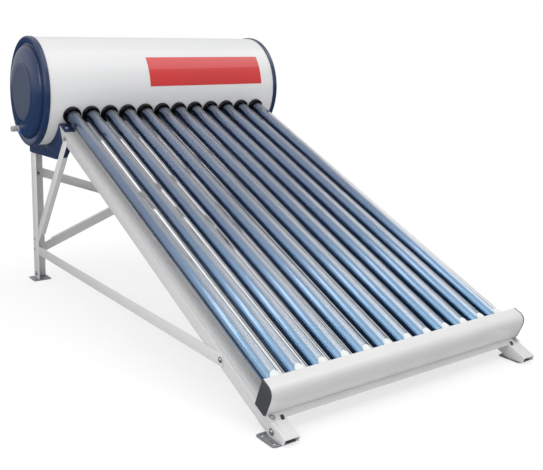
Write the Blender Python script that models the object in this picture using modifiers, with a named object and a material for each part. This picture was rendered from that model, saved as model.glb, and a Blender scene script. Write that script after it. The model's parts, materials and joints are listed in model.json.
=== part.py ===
"""Evacuated-tube solar water heater: tank, twelve glass tubes and an angle frame.

World frame, metres: +X runs along the tank, -Y is the low front side with the
tail bar, +Z is up.  The origin lies on the ground under the middle of the
heater.  Positions on the tilted collector are given as (s, n): s is the
distance down the slope from the tank's axis and n the height square to it.
"""

import math

import bmesh
import bpy
from mathutils import Matrix, Vector

# ---- driving dimensions, metres ------------------------------------------

SLOPE = math.radians(24.0)          # tilt of the collector
FIT = 0.0003                        # gap between pieces that touch

TUBE_COUNT = 12
TUBE_RADIUS = 0.029
TUBE_BORE_RADIUS = 0.022
TUBE_LENGTH = 1.800
TUBE_TOP_S = 0.092                  # where the open tops end inside the tank
TUBE_STEPS = 12
TAIL_ARC = (30.0, 60.0)             # degrees, where the round tail has points

SHELL_RADIUS = 0.235
SHELL_OVERHANG = 0.063              # beyond the rails' outer sides
SHELL_WALL = 0.001
SHELL_STEPS = 96
FOAM_STEPS = 48
FOAM_THICKNESS = 0.034              # so that the low pipe stubs meet the inner tank
FOAM_END = 0.058
INNER_WALL = 0.002
INNER_STEPS = 32

CAP_BAND = 0.016                    # how far a cap reaches over the shell
CAP_WALL = 0.0025
CAP_RIM_DEPTH = 0.0065
CAP_DOME_RISE = 0.024
CAP_RIM_WIDTH = 0.027
CAP_PLATE_RADIUS = 0.126
CAP_STEPS = 32

NIPPLE_Y = 0.080                    # behind the tank's axis
NIPPLE_DROP = 0.167                 # below the tank's axis
NIPPLE_RADIUS = 0.0132
NIPPLE_BORE_RADIUS = 0.010
NIPPLE_REACH = 0.047                # beyond the cap's rim face
COLLAR_RADIUS = 0.024
COLLAR_HEIGHT = 0.015

LABEL_LENGTH = 0.592
LABEL_INSET = 0.086                 # from the shell's right end
LABEL_FIRST_STEP = 1                # in steps of the shell's facets
LABEL_STEPS = 9
LABEL_THICKNESS = 0.0008

RING_LIP = 0.0095                   # beyond the tube's wall
RING_GAP = 0.007                    # between neighbouring rings
RING_HEIGHT = 0.012
RING_NECK_WALL = 0.003
RING_NECK_DEPTH = 0.009

BAR_DEPTH = 0.050
BAR_HEADROOM = 0.017                # above the tubes
BAR_WALL = 0.0025
BAR_FLANGE = 0.019
BAR_OVERHANG = 0.006                # beyond the rails' outer sides
BAR_CAP_THICKNESS = 0.004
BAR_CAP_PLUG = 0.010
CUP_WALL = 0.0017
CUP_LIP = 0.007
CUP_LIP_WIDTH = 0.002
CUP_SOCKET = 0.039                  # how far a tube's tail is inside the bar
CUP_WEB_HEIGHT = 0.050
CUP_WEB_THICKNESS = 0.002

RAIL_CLEARANCE = 0.014              # between the tubes and the rail tops
RAIL_WIDTH = 0.050
RAIL_DEPTH = 0.045
RAIL_WALL = 0.0025
RAIL_TANK_GAP = 0.006
RAIL_MITRE = 0.052
RAIL_TAIL = 0.087                   # beyond the bar's front
RAIL_TOE_HEIGHT = 0.0213            # of the rails' top edge over the ground
RAIL_GROOVES = 6
RAIL_GROOVE_WIDTH = 0.002
RAIL_GROOVE_DEPTH = 0.0008

LEG_BACK_Y = 0.165                  # behind the tank's axis
LEG_SIDE_WIDTH = 0.066
LEG_REAR_WIDTH = 0.052
LEG_WALL = 0.0025

SADDLE_WIDTH = 0.048
SADDLE_WALL = 0.003
SADDLE_DROP = 0.052                 # lower edge under the shell
SADDLE_REAR_OVERHANG = 0.031        # behind the legs
SADDLE_FRONT_Y = -0.150
SADDLE_EAR_REACH = 0.069            # below the shell, down the slope
SADDLE_TOE = 0.012
SADDLE_STEPS = 16

STRUT_WIDTH = 0.040
STRUT_FLANGE = 0.022
STRUT_WALL = 0.0025
UPPER_STRUT_REACH = 0.095           # its top below the shell, down the slope
SIDE_BRACE_Z = 0.137
CROSS_BRACE_DROP = 0.084            # its top under the saddles
CROSS_BRACE_LOW_Z = 0.122

FOOT_WIDTH = 0.080
FOOT_LENGTH = 0.088
FOOT_THICKNESS = 0.003
FOOT_CORNER = 0.010
FRONT_EAR_HEIGHT = 0.034
REAR_EAR_HEIGHT = 0.046
FOOT_EAR_WIDTH = 0.032
FOOT_HOLE_RADIUS = 0.0055
FRONT_FOOT_BOLT_Z = 0.021
REAR_FOOT_BOLT_Z = 0.026

FOOT_BOLT_RADIUS = 0.004
FOOT_BOLT_HEAD = 0.0072
FOOT_BOLT_NUT = 0.0065
BAR_BOLT_RADIUS = 0.003
BAR_BOLT_HEAD = 0.0065
BAR_BOLT_NUT = 0.0050
BAR_BOLT_INSET = 0.009              # from the rails' outer sides
BOLT_HEAD_HEIGHT = 0.0045
BOLT_NUT_HEIGHT = 0.006
BOLT_STEPS = 12

# ---- values that follow from them ------------------------------------------

COS = math.cos(SLOPE)
SIN = math.sin(SLOPE)
RING_RADIUS = TUBE_RADIUS + RING_LIP
TUBE_PITCH = 2.0 * RING_RADIUS + RING_GAP
TUBE_XS = [(i - (TUBE_COUNT - 1) / 2.0) * TUBE_PITCH for i in range(TUBE_COUNT)]
TAIL_S = TUBE_TOP_S + TUBE_LENGTH
BAR_BACK = TAIL_S - CUP_SOCKET      # the wall that the tubes enter
BAR_FRONT = BAR_BACK + BAR_DEPTH
FLANGE_END_S = BAR_FRONT + BAR_FLANGE
RAIL_DROP = TUBE_RADIUS + RAIL_CLEARANCE
RAIL_TOP_N = -RAIL_DROP
RAIL_LOW_N = RAIL_TOP_N - RAIL_DEPTH
RAIL_OUTER_X = TUBE_XS[-1] + RAIL_WIDTH
RAIL_TOP_S = SHELL_RADIUS + RAIL_TANK_GAP
RAIL_END_S = BAR_FRONT + RAIL_TAIL
FRONT_REACH = RAIL_END_S * COS + RAIL_TOP_N * SIN
TANK_AXIS_HEIGHT = RAIL_END_S * SIN + RAIL_DROP * COS + RAIL_TOE_HEIGHT
SHELL_HALF = RAIL_OUTER_X + SHELL_OVERHANG
SHELL_LENGTH = 2.0 * SHELL_HALF
LABEL_RIGHT = SHELL_HALF - LABEL_INSET
LABEL_LEFT = LABEL_RIGHT - LABEL_LENGTH
INNER_RADIUS = SHELL_RADIUS - SHELL_WALL - FIT - FOAM_THICKNESS - FIT
INNER_HALF = SHELL_HALF - FOAM_END
CAP_BAND_RADIUS = (SHELL_RADIUS + FIT) / math.cos(math.pi / CAP_STEPS)
CAP_RADIUS = CAP_BAND_RADIUS + CAP_WALL
TANK_Y = (FRONT_REACH - CAP_RADIUS) / 2.0
CUP_RADIUS = TUBE_RADIUS + FIT + CUP_WALL
RING_NECK_RADIUS = TUBE_RADIUS + FIT + RING_NECK_WALL
BAR_HALF_LENGTH = RAIL_OUTER_X + BAR_OVERHANG
BAR_HEIGHT = RAIL_DROP + TUBE_RADIUS + BAR_HEADROOM
BAR_BOLT_X = RAIL_OUTER_X - BAR_BOLT_INSET
BAR_LOW_N = RAIL_TOP_N + FIT
BAR_TOP_N = BAR_LOW_N + BAR_HEIGHT
STRUT_OUTER_X = RAIL_OUTER_X + FIT + STRUT_WALL
LEG_OUTER_X = STRUT_OUTER_X + FIT + LEG_WALL
LEG_FRONT_Y = LEG_BACK_Y - LEG_SIDE_WIDTH
SADDLE_DEPTH = SHELL_RADIUS + SADDLE_DROP
SADDLE_LOW_Z = TANK_AXIS_HEIGHT - SADDLE_DEPTH
SADDLE_REAR_Y = LEG_BACK_Y + SADDLE_REAR_OVERHANG
SADDLE_EAR_END_S = SHELL_RADIUS + SADDLE_EAR_REACH
UPPER_STRUT_TOP_S = SHELL_RADIUS + UPPER_STRUT_REACH
CROSS_BRACE_TOP_Z = SADDLE_LOW_Z - CROSS_BRACE_DROP
UPPER_STRUT_LOW_Z = SIDE_BRACE_Z + STRUT_WIDTH + FIT
FOOT_TOP = FOOT_THICKNESS + FIT
SIDES = (("left", -1.0), ("right", 1.0))


def on_slope(s, n, x=0.0):
    """World point at s down the slope and n above the tubes' plane."""
    return Vector((x, TANK_Y - s * COS - n * SIN, TANK_AXIS_HEIGHT - s * SIN + n * COS))


# ---- scene and modelling helpers -------------------------------------------


def new_collection(name):
    collection = bpy.data.collections.new(name)
    bpy.context.scene.collection.children.link(collection)
    return collection


for leftover in list(bpy.data.objects):
    bpy.data.objects.remove(leftover, do_unlink=True)
PARTS = new_collection("solar_water_heater")
CUTTERS = new_collection("cutters")


def material(name, colour, roughness, metallic=0.0):
    """Principled material, made once and shared by the pieces that use it."""
    found = bpy.data.materials.get(name)
    if found:
        return found
    made = bpy.data.materials.new(name)
    made.use_nodes = True
    shader = made.node_tree.nodes["Principled BSDF"]
    shader.inputs["Base Color"].default_value = (*colour, 1.0)
    shader.inputs["Roughness"].default_value = roughness
    shader.inputs["Metallic"].default_value = metallic
    return made


def white_paint():
    return material("white_painted_steel", (0.80, 0.80, 0.81), 0.35)


def frame_paint():
    return material("silver_painted_steel", (0.66, 0.67, 0.68), 0.40, 0.3)


def blue_plastic():
    return material("dark_blue_plastic", (0.045, 0.075, 0.15), 0.38)


def zinc():
    return material("galvanised_steel", (0.42, 0.43, 0.44), 0.45, 0.9)


def add_object(name, mesh, look=None):
    """Object in the parts collection; without a look it becomes a cutter."""
    made = bpy.data.objects.new(name, mesh)
    if look is None:
        made.hide_render = True
        made.display_type = "WIRE"
        CUTTERS.objects.link(made)
        return made
    mesh.materials.clear()
    mesh.materials.append(look)
    PARTS.objects.link(made)
    return made


def bake(source, turn_out=True):
    """Turn an object's evaluated shape into one clean mesh; drop the object."""
    graph = bpy.context.evaluated_depsgraph_get()
    graph.update()
    mesh = bpy.data.meshes.new_from_object(source.evaluated_get(graph), depsgraph=graph)
    mesh.transform(source.matrix_world)
    bpy.data.objects.remove(source, do_unlink=True)
    work = bmesh.new()
    work.from_mesh(mesh)
    bmesh.ops.remove_doubles(work, verts=work.verts, dist=0.00001)
    if turn_out:
        bmesh.ops.recalc_face_normals(work, faces=work.faces)
    work.to_mesh(mesh)
    work.free()
    return mesh


def place(source, location=(0.0, 0.0, 0.0), rotation=(0.0, 0.0, 0.0)):
    source.location = location
    source.rotation_euler = rotation
    bpy.context.view_layer.update()
    return source


def prism(outline, length, location=(0.0, 0.0, 0.0), rotation=(0.0, 0.0, 0.0), holes=()):
    """Flat outline, with holes, thickened along its normal and then placed."""
    curve = bpy.data.curves.new("outline", "CURVE")
    curve.dimensions = "2D"
    curve.fill_mode = "BOTH"
    curve.extrude = length / 2.0
    for ring in (outline, *holes):
        spline = curve.splines.new("POLY")
        spline.points.add(len(ring) - 1)
        for point, (u, v) in zip(spline.points, ring):
            point.co = (u, v, 0.0, 1.0)
        spline.use_cyclic_u = True
    return bake(place(add_object("outline", curve), location, rotation))


ALONG_X = (math.pi / 2.0, 0.0, math.pi / 2.0)       # outline in Y and Z
DOWN_SLOPE = (SLOPE + math.pi / 2.0, 0.0, 0.0)      # outline in X and n


def slope_prism(outline, length, x=0.0, holes=()):
    """Outline in (s, n), thickened along X about x."""
    rings = [[on_slope(s, n).yz for s, n in ring] for ring in (outline, *holes)]
    return prism(rings[0], length, (x, 0.0, 0.0), ALONG_X, rings[1:])


def circle(radius, steps, centre=(0.0, 0.0)):
    turns = [2.0 * math.pi * i / steps for i in range(steps)]
    return [(centre[0] + radius * math.cos(t), centre[1] + radius * math.sin(t)) for t in turns]


def box(size, location, rotation=(0.0, 0.0, 0.0)):
    mesh = bpy.data.meshes.new("box")
    work = bmesh.new()
    bmesh.ops.create_cube(work, size=1.0)
    bmesh.ops.scale(work, vec=size, verts=work.verts)
    work.to_mesh(mesh)
    work.free()
    return bake(place(add_object("box", mesh), location, rotation))


def cylinder(radius, length, steps, location, rotation):
    mesh = bpy.data.meshes.new("cylinder")
    work = bmesh.new()
    bmesh.ops.create_cone(work, cap_ends=True, segments=steps, radius1=radius,
                          radius2=radius, depth=length)
    work.to_mesh(mesh)
    work.free()
    return bake(place(add_object("cylinder", mesh), location, rotation))


def lathe(profile, steps):
    """Turn (radius, height) points about Z; the profile runs down its outer side."""
    mesh = bpy.data.meshes.new("profile")
    work = bmesh.new()
    points = [work.verts.new((radius, 0.0, height)) for radius, height in profile]
    for first, second in zip(points, points[1:]):
        work.edges.new((first, second))
    if profile[0][0] > 0.0:
        work.edges.new((points[-1], points[0]))
    work.to_mesh(mesh)
    work.free()
    turned = add_object("profile", mesh)
    screw = turned.modifiers.new("turn", "SCREW")
    screw.axis = "Z"
    screw.steps = steps
    screw.render_steps = steps
    screw.use_merge_vertices = True
    screw.merge_threshold = 0.00001
    return bake(turned)


def merged(meshes):
    """Several meshes in one, as they lie."""
    work = bmesh.new()
    for mesh in meshes:
        work.from_mesh(mesh)
    out = bpy.data.meshes.new("merged")
    work.to_mesh(out)
    work.free()
    return out


def combine(mesh, other, operation):
    """Boolean of two closed meshes in the same frame."""
    base = add_object("base", mesh)
    tool = add_object("tool", other)
    step = base.modifiers.new("cut", "BOOLEAN")
    step.operation = operation
    step.object = tool
    bpy.context.view_layer.update()
    out = bake(base, turn_out=False)
    bpy.data.objects.remove(tool, do_unlink=True)
    return out


def cut(mesh, *others):
    return combine(mesh, merged(others), "DIFFERENCE")


def join(mesh, other):
    return combine(mesh, other, "UNION")


def moved(mesh, location, rotation=(0.0, 0.0, 0.0)):
    """Copy of a mesh, turned and moved."""
    copy = mesh.copy()
    turn = Matrix.Rotation(rotation[2], 4, "Z")
    turn = turn @ Matrix.Rotation(rotation[1], 4, "Y") @ Matrix.Rotation(rotation[0], 4, "X")
    copy.transform(Matrix.Translation(location) @ turn)
    return copy


def finish(name, mesh, look, origin=None, smooth=False):
    """Name the piece and put its origin where asked, or at its middle."""
    mesh.name = name
    if origin is None:
        low = [min(v.co[axis] for v in mesh.vertices) for axis in range(3)]
        high = [max(v.co[axis] for v in mesh.vertices) for axis in range(3)]
        origin = [(a + b) / 2.0 for a, b in zip(low, high)]
    mesh.transform(Matrix.Translation(-Vector(origin)))
    if smooth:
        mesh.shade_smooth()
        mesh.set_sharp_from_angle(angle=math.radians(35.0))
    made = add_object(name, mesh, look)
    made.location = origin
    return made


# ---- tank -------------------------------------------------------------------

ON_TANK = (0.0, TANK_Y, TANK_AXIS_HEIGHT)
TURN_TO_X = (0.0, math.pi / 2.0, 0.0)
TURN_TO_TUBE = (SLOPE - math.pi / 2.0, 0.0, 0.0)


def drum(radius, length, steps):
    return cylinder(radius, length, steps, ON_TANK, TURN_TO_X)


def tube_holes(radius, first_s, last_s):
    """Cylinders along the tubes, to open the tank's walls."""
    middle = (first_s + last_s) / 2.0
    length = last_s - first_s
    made = []
    for x in TUBE_XS:
        made.append(cylinder(radius, length, TUBE_STEPS, on_slope(middle, 0.0, x), TURN_TO_TUBE))
    return merged(made)


def pipe_rods(radius, first_x, last_x):
    """Cylinders on both pipe axes, from first_x to last_x off the middle."""
    made = []
    for _, side in SIDES:
        centre = (side * (first_x + last_x) / 2.0, TANK_Y + NIPPLE_Y,
                  TANK_AXIS_HEIGHT - NIPPLE_DROP)
        made.append(cylinder(radius, last_x - first_x, TUBE_STEPS, centre, TURN_TO_X))
    return made


def make_outer_shell():
    bore = drum(SHELL_RADIUS - SHELL_WALL, SHELL_LENGTH * 1.2, SHELL_STEPS)
    shell = cut(drum(SHELL_RADIUS, SHELL_LENGTH, SHELL_STEPS), bore)
    holes = tube_holes(RING_NECK_RADIUS + FIT, SHELL_RADIUS * 0.7, SHELL_RADIUS * 1.1)
    finish("outer_shell", cut(shell, holes), white_paint(), smooth=True)


def make_insulation():
    length = SHELL_LENGTH - 2.0 * FIT
    foam = drum(SHELL_RADIUS - SHELL_WALL - FIT, length, FOAM_STEPS)
    cavity = drum(INNER_RADIUS + FIT, 2.0 * (INNER_HALF + FIT), INNER_STEPS)
    holes = tube_holes(RING_NECK_RADIUS + FIT, INNER_RADIUS * 0.8, SHELL_RADIUS * 1.1)
    foam = cut(cut(foam, cavity), holes)
    rods = pipe_rods(NIPPLE_RADIUS + FIT, INNER_HALF - 0.01, SHELL_HALF + 0.01)
    foam = cut(foam, *rods)
    look = material("yellow_foam", (0.75, 0.62, 0.36), 0.9)
    finish("insulation_foam", foam, look)


def make_inner_tank():
    tank = drum(INNER_RADIUS, 2.0 * INNER_HALF, INNER_STEPS)
    inside = drum(INNER_RADIUS - INNER_WALL, 2.0 * (INNER_HALF - INNER_WALL), INNER_STEPS)
    holes = tube_holes(TUBE_RADIUS + FIT, INNER_RADIUS * 0.8, INNER_RADIUS * 1.2)
    tank = cut(cut(tank, inside), holes)
    ports = pipe_rods(NIPPLE_BORE_RADIUS, INNER_HALF - 0.01, INNER_HALF + 0.01)
    tank = cut(tank, *ports)
    look = material("stainless_steel", (0.62, 0.62, 0.63), 0.3, 1.0)
    finish("inner_tank", tank, look, smooth=True)


def cap_profile(offset):
    """Outer line of a cap, from its middle to the band; offset moves it inward."""
    rim = SHELL_HALF + CAP_RIM_DEPTH
    edge = CAP_RADIUS
    inner = edge - CAP_RIM_WIDTH
    top = rim + CAP_DOME_RISE
    line = [(0.0, top), (CAP_PLATE_RADIUS, top)]
    line.append((CAP_PLATE_RADIUS + 0.003, top - 0.002))
    start = CAP_PLATE_RADIUS + 0.003
    for part in (0.5, 0.8, 1.0):
        radius = start + part * (inner - 0.011 - start)
        line.append((radius, top - 0.002 - (CAP_DOME_RISE - 0.001) * part ** 2.0))
    line.append((inner - 0.009, rim - 0.004))
    line.append((inner - 0.002, rim - 0.004))
    line.append((inner, rim))
    line.append((edge - 0.007, rim))
    line.append((edge - 0.002, rim - 0.003))
    line.append((edge, rim - 0.008))
    moved_line = []
    for index, (radius, height) in enumerate(line):
        shrink = offset if index == len(line) - 1 else offset * 0.5
        moved_line.append((max(radius - shrink, 0.0), height - offset))
    return moved_line


def cap_solid():
    outer = cap_profile(0.0)
    outer.append((CAP_RADIUS, SHELL_HALF - CAP_BAND))
    inner = cap_profile(CAP_WALL)
    inner = [inner[0], inner[2], inner[4], inner[7], inner[10]]
    inner.append((CAP_BAND_RADIUS, SHELL_HALF + FIT))
    inner.append((CAP_BAND_RADIUS, SHELL_HALF - CAP_BAND))
    return lathe(outer + inner[::-1], CAP_STEPS)


def turn_outward(mesh, side):
    return moved(mesh, ON_TANK, (0.0, side * math.pi / 2.0, 0.0))


def make_end_caps():
    solid = cap_solid()
    rods = pipe_rods(NIPPLE_RADIUS + FIT, SHELL_HALF - 0.02, SHELL_HALF + 0.05)
    for name, side in SIDES:
        cap = cut(turn_outward(solid, side), *rods)
        finish("end_cap_" + name, cap, blue_plastic(), smooth=True)


def make_pipes():
    """Threaded pipe stub and its plastic collar on each end of the tank."""
    reach = SHELL_HALF + CAP_RIM_DEPTH + NIPPLE_REACH
    bodies = pipe_rods(NIPPLE_RADIUS, INNER_HALF + FIT, reach)
    bores = pipe_rods(NIPPLE_BORE_RADIUS, INNER_HALF - 0.01, reach + 0.01)
    top = SHELL_HALF + CAP_RIM_DEPTH + COLLAR_HEIGHT
    collars = pipe_rods(COLLAR_RADIUS, SHELL_HALF, top)
    holes = pipe_rods(NIPPLE_RADIUS + FIT, SHELL_HALF - 0.01, top + 0.01)
    line = [(radius, height + FIT) for radius, height in cap_profile(0.0)]
    line.append((CAP_RADIUS, SHELL_HALF - CAP_BAND))
    line.append((0.0, SHELL_HALF - CAP_BAND))
    under = lathe(line, CAP_STEPS)
    steel = material("plated_pipe_thread", (0.70, 0.71, 0.72), 0.3, 1.0)
    blue = material("bright_blue_plastic", (0.03, 0.12, 0.33), 0.35)
    for index, (name, side) in enumerate(SIDES):
        finish("pipe_nipple_" + name, cut(bodies[index], bores[index]), steel, smooth=True)
        collar = cut(collars[index], turn_outward(under, side))
        collar = cut(collar, holes[index])
        finish("pipe_collar_" + name, collar, blue, smooth=True)


def make_front_label():
    """Plain curved plate on the front of the shell, on the shell's own facets."""
    step = 2.0 * math.pi / SHELL_STEPS
    angles = [step * (LABEL_FIRST_STEP + i) for i in range(LABEL_STEPS + 1)]
    low = SHELL_RADIUS + FIT
    high = low + LABEL_THICKNESS
    outline = [(TANK_Y - high * math.cos(a), TANK_AXIS_HEIGHT + high * math.sin(a)) for a in angles]
    inner = [(TANK_Y - low * math.cos(a), TANK_AXIS_HEIGHT + low * math.sin(a)) for a in angles]
    centre = (LABEL_LEFT + LABEL_RIGHT) / 2.0
    plate = prism(outline + inner[::-1], LABEL_RIGHT - LABEL_LEFT, (centre, 0.0, 0.0), ALONG_X)
    finish("front_label", plate, material("red_gloss_paint", (0.60, 0.004, 0.004), 0.2))


# ---- glass tubes and their rubber rings ---------------------------------------


def tube_mesh():
    """Flask with a round closed tail at z = 0 and its open mouth at the top."""
    arc = [math.radians(a) for a in TAIL_ARC]
    wall = TUBE_RADIUS - TUBE_BORE_RADIUS
    profile = [(0.0, wall)]
    for turn in arc:
        height = TUBE_RADIUS - TUBE_BORE_RADIUS * math.cos(turn)
        profile.append((TUBE_BORE_RADIUS * math.sin(turn), height))
    profile.append((TUBE_BORE_RADIUS, TUBE_LENGTH))
    profile.append((TUBE_RADIUS, TUBE_LENGTH))
    for turn in arc[::-1]:
        height = TUBE_RADIUS - TUBE_RADIUS * math.cos(turn)
        profile.append((TUBE_RADIUS * math.sin(turn), height))
    profile.append((0.0, 0.0))
    return lathe(profile, TUBE_STEPS)


def make_tubes():
    """Each tube's origin is its tail, on the line that it slides along."""
    mesh = tube_mesh()
    mesh.name = "vacuum_tube"
    mesh.shade_smooth()
    mesh.set_sharp_from_angle(angle=math.radians(35.0))
    look = material("tube_glass", (0.10, 0.16, 0.30), 0.08)
    for index, x in enumerate(TUBE_XS):
        tube = add_object("vacuum_tube_%02d" % (index + 1), mesh, look)
        tube.location = on_slope(TAIL_S, 0.0, x)
        tube.rotation_euler = TURN_TO_TUBE


def ring_mesh():
    """Grommet: a neck through the shell and a rounded lip seated on it."""
    bore = TUBE_RADIUS + FIT
    top = SHELL_RADIUS + RING_HEIGHT
    low = SHELL_RADIUS - RING_NECK_DEPTH
    seat = SHELL_RADIUS - 0.006
    profile = [(bore, -low), (bore, -top), (RING_RADIUS - 0.003, -top)]
    profile.append((RING_RADIUS, -top + 0.005))
    profile.append((RING_RADIUS, -seat))
    profile.append((RING_NECK_RADIUS, -seat))
    profile.append((RING_NECK_RADIUS, -low))
    turned = moved(lathe(profile[::-1], TUBE_STEPS), ON_TANK, TURN_TO_TUBE)
    wall = drum(SHELL_RADIUS + FIT, 0.2, SHELL_STEPS)
    core = cylinder(RING_NECK_RADIUS, 4.0 * SHELL_RADIUS, TUBE_STEPS, ON_TANK, TURN_TO_TUBE)
    return cut(turned, cut(wall, core))


def make_dust_rings():
    mesh = ring_mesh()
    mesh.transform(Matrix.Translation(-on_slope(SHELL_RADIUS, 0.0)))
    mesh.name = "dust_ring"
    mesh.shade_smooth()
    mesh.set_sharp_from_angle(angle=math.radians(35.0))
    look = material("black_rubber", (0.012, 0.012, 0.013), 0.35)
    for index, x in enumerate(TUBE_XS):
        ring = add_object("dust_ring_%02d" % (index + 1), mesh, look)
        ring.location = on_slope(SHELL_RADIUS, 0.0, x)


# ---- tail bar -------------------------------------------------------------------


def bar_outline(inset, flange):
    """Section of the tail bar in (s, n), with a bulged front, inset by a wall."""
    back = BAR_BACK + inset
    low = BAR_LOW_N + inset
    top = BAR_TOP_N - inset
    front = BAR_FRONT - inset
    rise = top - low
    line = [(back, low)]
    if flange:
        line.append((FLANGE_END_S, low))
        line.append((FLANGE_END_S, low + BAR_WALL))
        line.append((front - 0.002, low + BAR_WALL))
    else:
        line.append((front - 0.004, low))
    line.append((front, low + 0.35 * rise))
    line.append((front + 0.002, low + 0.62 * rise))
    line.append((front - 0.001, low + 0.82 * rise))
    line.append((front - 0.009, low + 0.94 * rise))
    line.append((front - 0.022, top))
    line.append((back, top - 0.001))
    return line


def make_tail_bar():
    length = 2.0 * BAR_HALF_LENGTH
    bar = slope_prism(bar_outline(0.0, True), length)
    bar = cut(bar, slope_prism(bar_outline(BAR_WALL, False), length + 0.02))
    bar = cut(bar, tube_holes(CUP_RADIUS + FIT, BAR_BACK - 0.01, BAR_BACK + 0.01))
    bolts = []
    for _, side in SIDES:
        bolts.append(bar_bolt_rod(side))
    finish("tail_bar", cut(bar, *bolts), frame_paint())


def make_bar_caps():
    for name, side in SIDES:
        middle = side * (BAR_HALF_LENGTH + FIT + BAR_CAP_THICKNESS / 2.0)
        plate = slope_prism(bar_outline(-0.001 + FIT, False), BAR_CAP_THICKNESS, middle)
        depth = BAR_CAP_PLUG + BAR_CAP_THICKNESS / 2.0
        plug_x = middle - side * depth / 2.0
        plug = slope_prism(bar_outline(BAR_WALL + 2.0 * FIT, False), depth, plug_x)
        look = material("dark_grey_plastic", (0.085, 0.087, 0.092), 0.5)
        finish("tail_bar_cap_" + name, join(plate, plug), look)


def cup_body():
    """Solid cup along a tube: a wider lip at the mouth and a flat bottom."""
    mouth = CUP_SOCKET + CUP_LIP
    wide = CUP_RADIUS + CUP_LIP_WIDTH
    bottom = -FIT - CUP_WALL
    profile = [(0.0, mouth), (wide, mouth), (wide, CUP_SOCKET + FIT)]
    profile += [(CUP_RADIUS, CUP_SOCKET + FIT), (CUP_RADIUS, CUP_RADIUS * 0.5)]
    profile += [(CUP_RADIUS * 0.6, bottom), (0.0, bottom)]
    return lathe(profile, TUBE_STEPS)


def cup_bore():
    """The room for a tube's round tail inside its cup."""
    radius = TUBE_RADIUS + FIT
    top = CUP_SOCKET + CUP_LIP + 0.01
    profile = [(0.0, top), (radius, top), (radius, radius - FIT)]
    for turn in [math.radians(a) for a in TAIL_ARC[::-1]]:
        profile.append((radius * math.sin(turn), radius - FIT - radius * math.cos(turn)))
    profile.append((0.0, -FIT))
    return lathe(profile, TUBE_STEPS)


def make_tail_cups():
    """Twelve cups on one web that lies behind the bar's slotted wall."""
    outer = cup_body()
    inner = cup_bore()
    bodies = [moved(outer, on_slope(TAIL_S, 0.0, x), TURN_TO_TUBE) for x in TUBE_XS]
    bores = [moved(inner, on_slope(TAIL_S, 0.0, x), TURN_TO_TUBE) for x in TUBE_XS]
    low_s = BAR_BACK + BAR_WALL + FIT
    high_s = low_s + CUP_WEB_THICKNESS
    half = CUP_WEB_HEIGHT / 2.0
    web = [(low_s, -half), (high_s, -half), (high_s, half), (low_s, half)]
    strip = slope_prism(web, TUBE_XS[-1] - TUBE_XS[0] + 2.0 * CUP_RADIUS)
    strip = cut(join(strip, merged(bodies)), *bores)
    finish("tail_cup_strip", strip, material("white_plastic", (0.82, 0.82, 0.82), 0.35))


# ---- frame ------------------------------------------------------------------------


def rail_outline():
    """Channel open underneath, with fine grooves along its top."""
    half = RAIL_WIDTH / 2.0
    top = [(half, RAIL_LOW_N), (half, RAIL_TOP_N)]
    pitch = RAIL_WIDTH / (RAIL_GROOVES + 1.0)
    for index in range(RAIL_GROOVES):
        x = half - pitch * (index + 1)
        wide = RAIL_GROOVE_WIDTH / 2.0
        deep = RAIL_TOP_N - RAIL_GROOVE_DEPTH
        top += [(x + wide, RAIL_TOP_N), (x + wide, deep), (x - wide, deep), (x - wide, RAIL_TOP_N)]
    top += [(-half, RAIL_TOP_N), (-half, RAIL_LOW_N), (RAIL_WALL - half, RAIL_LOW_N)]
    top += [(RAIL_WALL - half, RAIL_TOP_N - RAIL_WALL)]
    top += [(half - RAIL_WALL, RAIL_TOP_N - RAIL_WALL), (half - RAIL_WALL, RAIL_LOW_N)]
    return top


def mitre_point(n):
    """s of the rail's slanted upper end at height n."""
    return RAIL_TOP_S + RAIL_MITRE * (RAIL_TOP_N - n) / RAIL_DEPTH


def front_foot_y():
    """Middle of a front foot: its bolt is on the middle of the rail's side."""
    middle_n = RAIL_TOP_N - 0.55 * RAIL_DEPTH
    s = (TANK_AXIS_HEIGHT + middle_n * COS - FRONT_FOOT_BOLT_Z) / SIN
    return on_slope(s, middle_n).y


def foot_spots():
    """For each foot: name, side, face it bolts to, wall, middle y, bolt z, ear height."""
    rear_y = TANK_Y + (LEG_FRONT_Y + LEG_BACK_Y) / 2.0
    spots = []
    for name, side in SIDES:
        spots.append(("front_" + name, side, RAIL_OUTER_X, RAIL_WALL, front_foot_y(),
                      FRONT_FOOT_BOLT_Z, FRONT_EAR_HEIGHT))
        spots.append(("rear_" + name, side, LEG_OUTER_X, LEG_WALL, rear_y,
                      REAR_FOOT_BOLT_Z, REAR_EAR_HEIGHT))
    return spots


def foot_bolt_rod(spot, radius, reach):
    _, side, face, _, y, z, _ = spot
    return cylinder(radius, reach, BOLT_STEPS, (side * face, y, z), TURN_TO_X)


def bar_bolt_rod(side):
    s = (BAR_FRONT + FLANGE_END_S) / 2.0
    centre = on_slope(s, RAIL_TOP_N, side * BAR_BOLT_X)
    return cylinder(BAR_BOLT_RADIUS + FIT, 0.03, BOLT_STEPS, centre, (SLOPE, 0.0, 0.0))


def make_front_rails():
    middle_s = RAIL_END_S / 2.0
    for name, side in SIDES:
        centre = on_slope(middle_s, 0.0, side * (RAIL_OUTER_X - RAIL_WIDTH / 2.0))
        rail = prism(rail_outline(), RAIL_END_S, centre, DOWN_SLOPE)
        low_n = RAIL_LOW_N - 0.02
        high_n = RAIL_TOP_N + 0.02
        end = [(-0.1, low_n), (mitre_point(low_n), low_n), (mitre_point(high_n), high_n)]
        end.append((-0.1, high_n))
        rail = cut(rail, slope_prism(end, 1.3))
        ground = box((1.3, 6.0, 1.0), (0.0, 0.0, FOOT_TOP - 0.5))
        rail = cut(rail, ground)
        spot = [s for s in foot_spots() if s[0] == "front_" + name][0]
        hole = foot_bolt_rod(spot, FOOT_BOLT_RADIUS + FIT, 0.02)
        rail = cut(rail, hole, bar_bolt_rod(side))
        finish("front_rail_" + name, rail, frame_paint())


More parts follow.
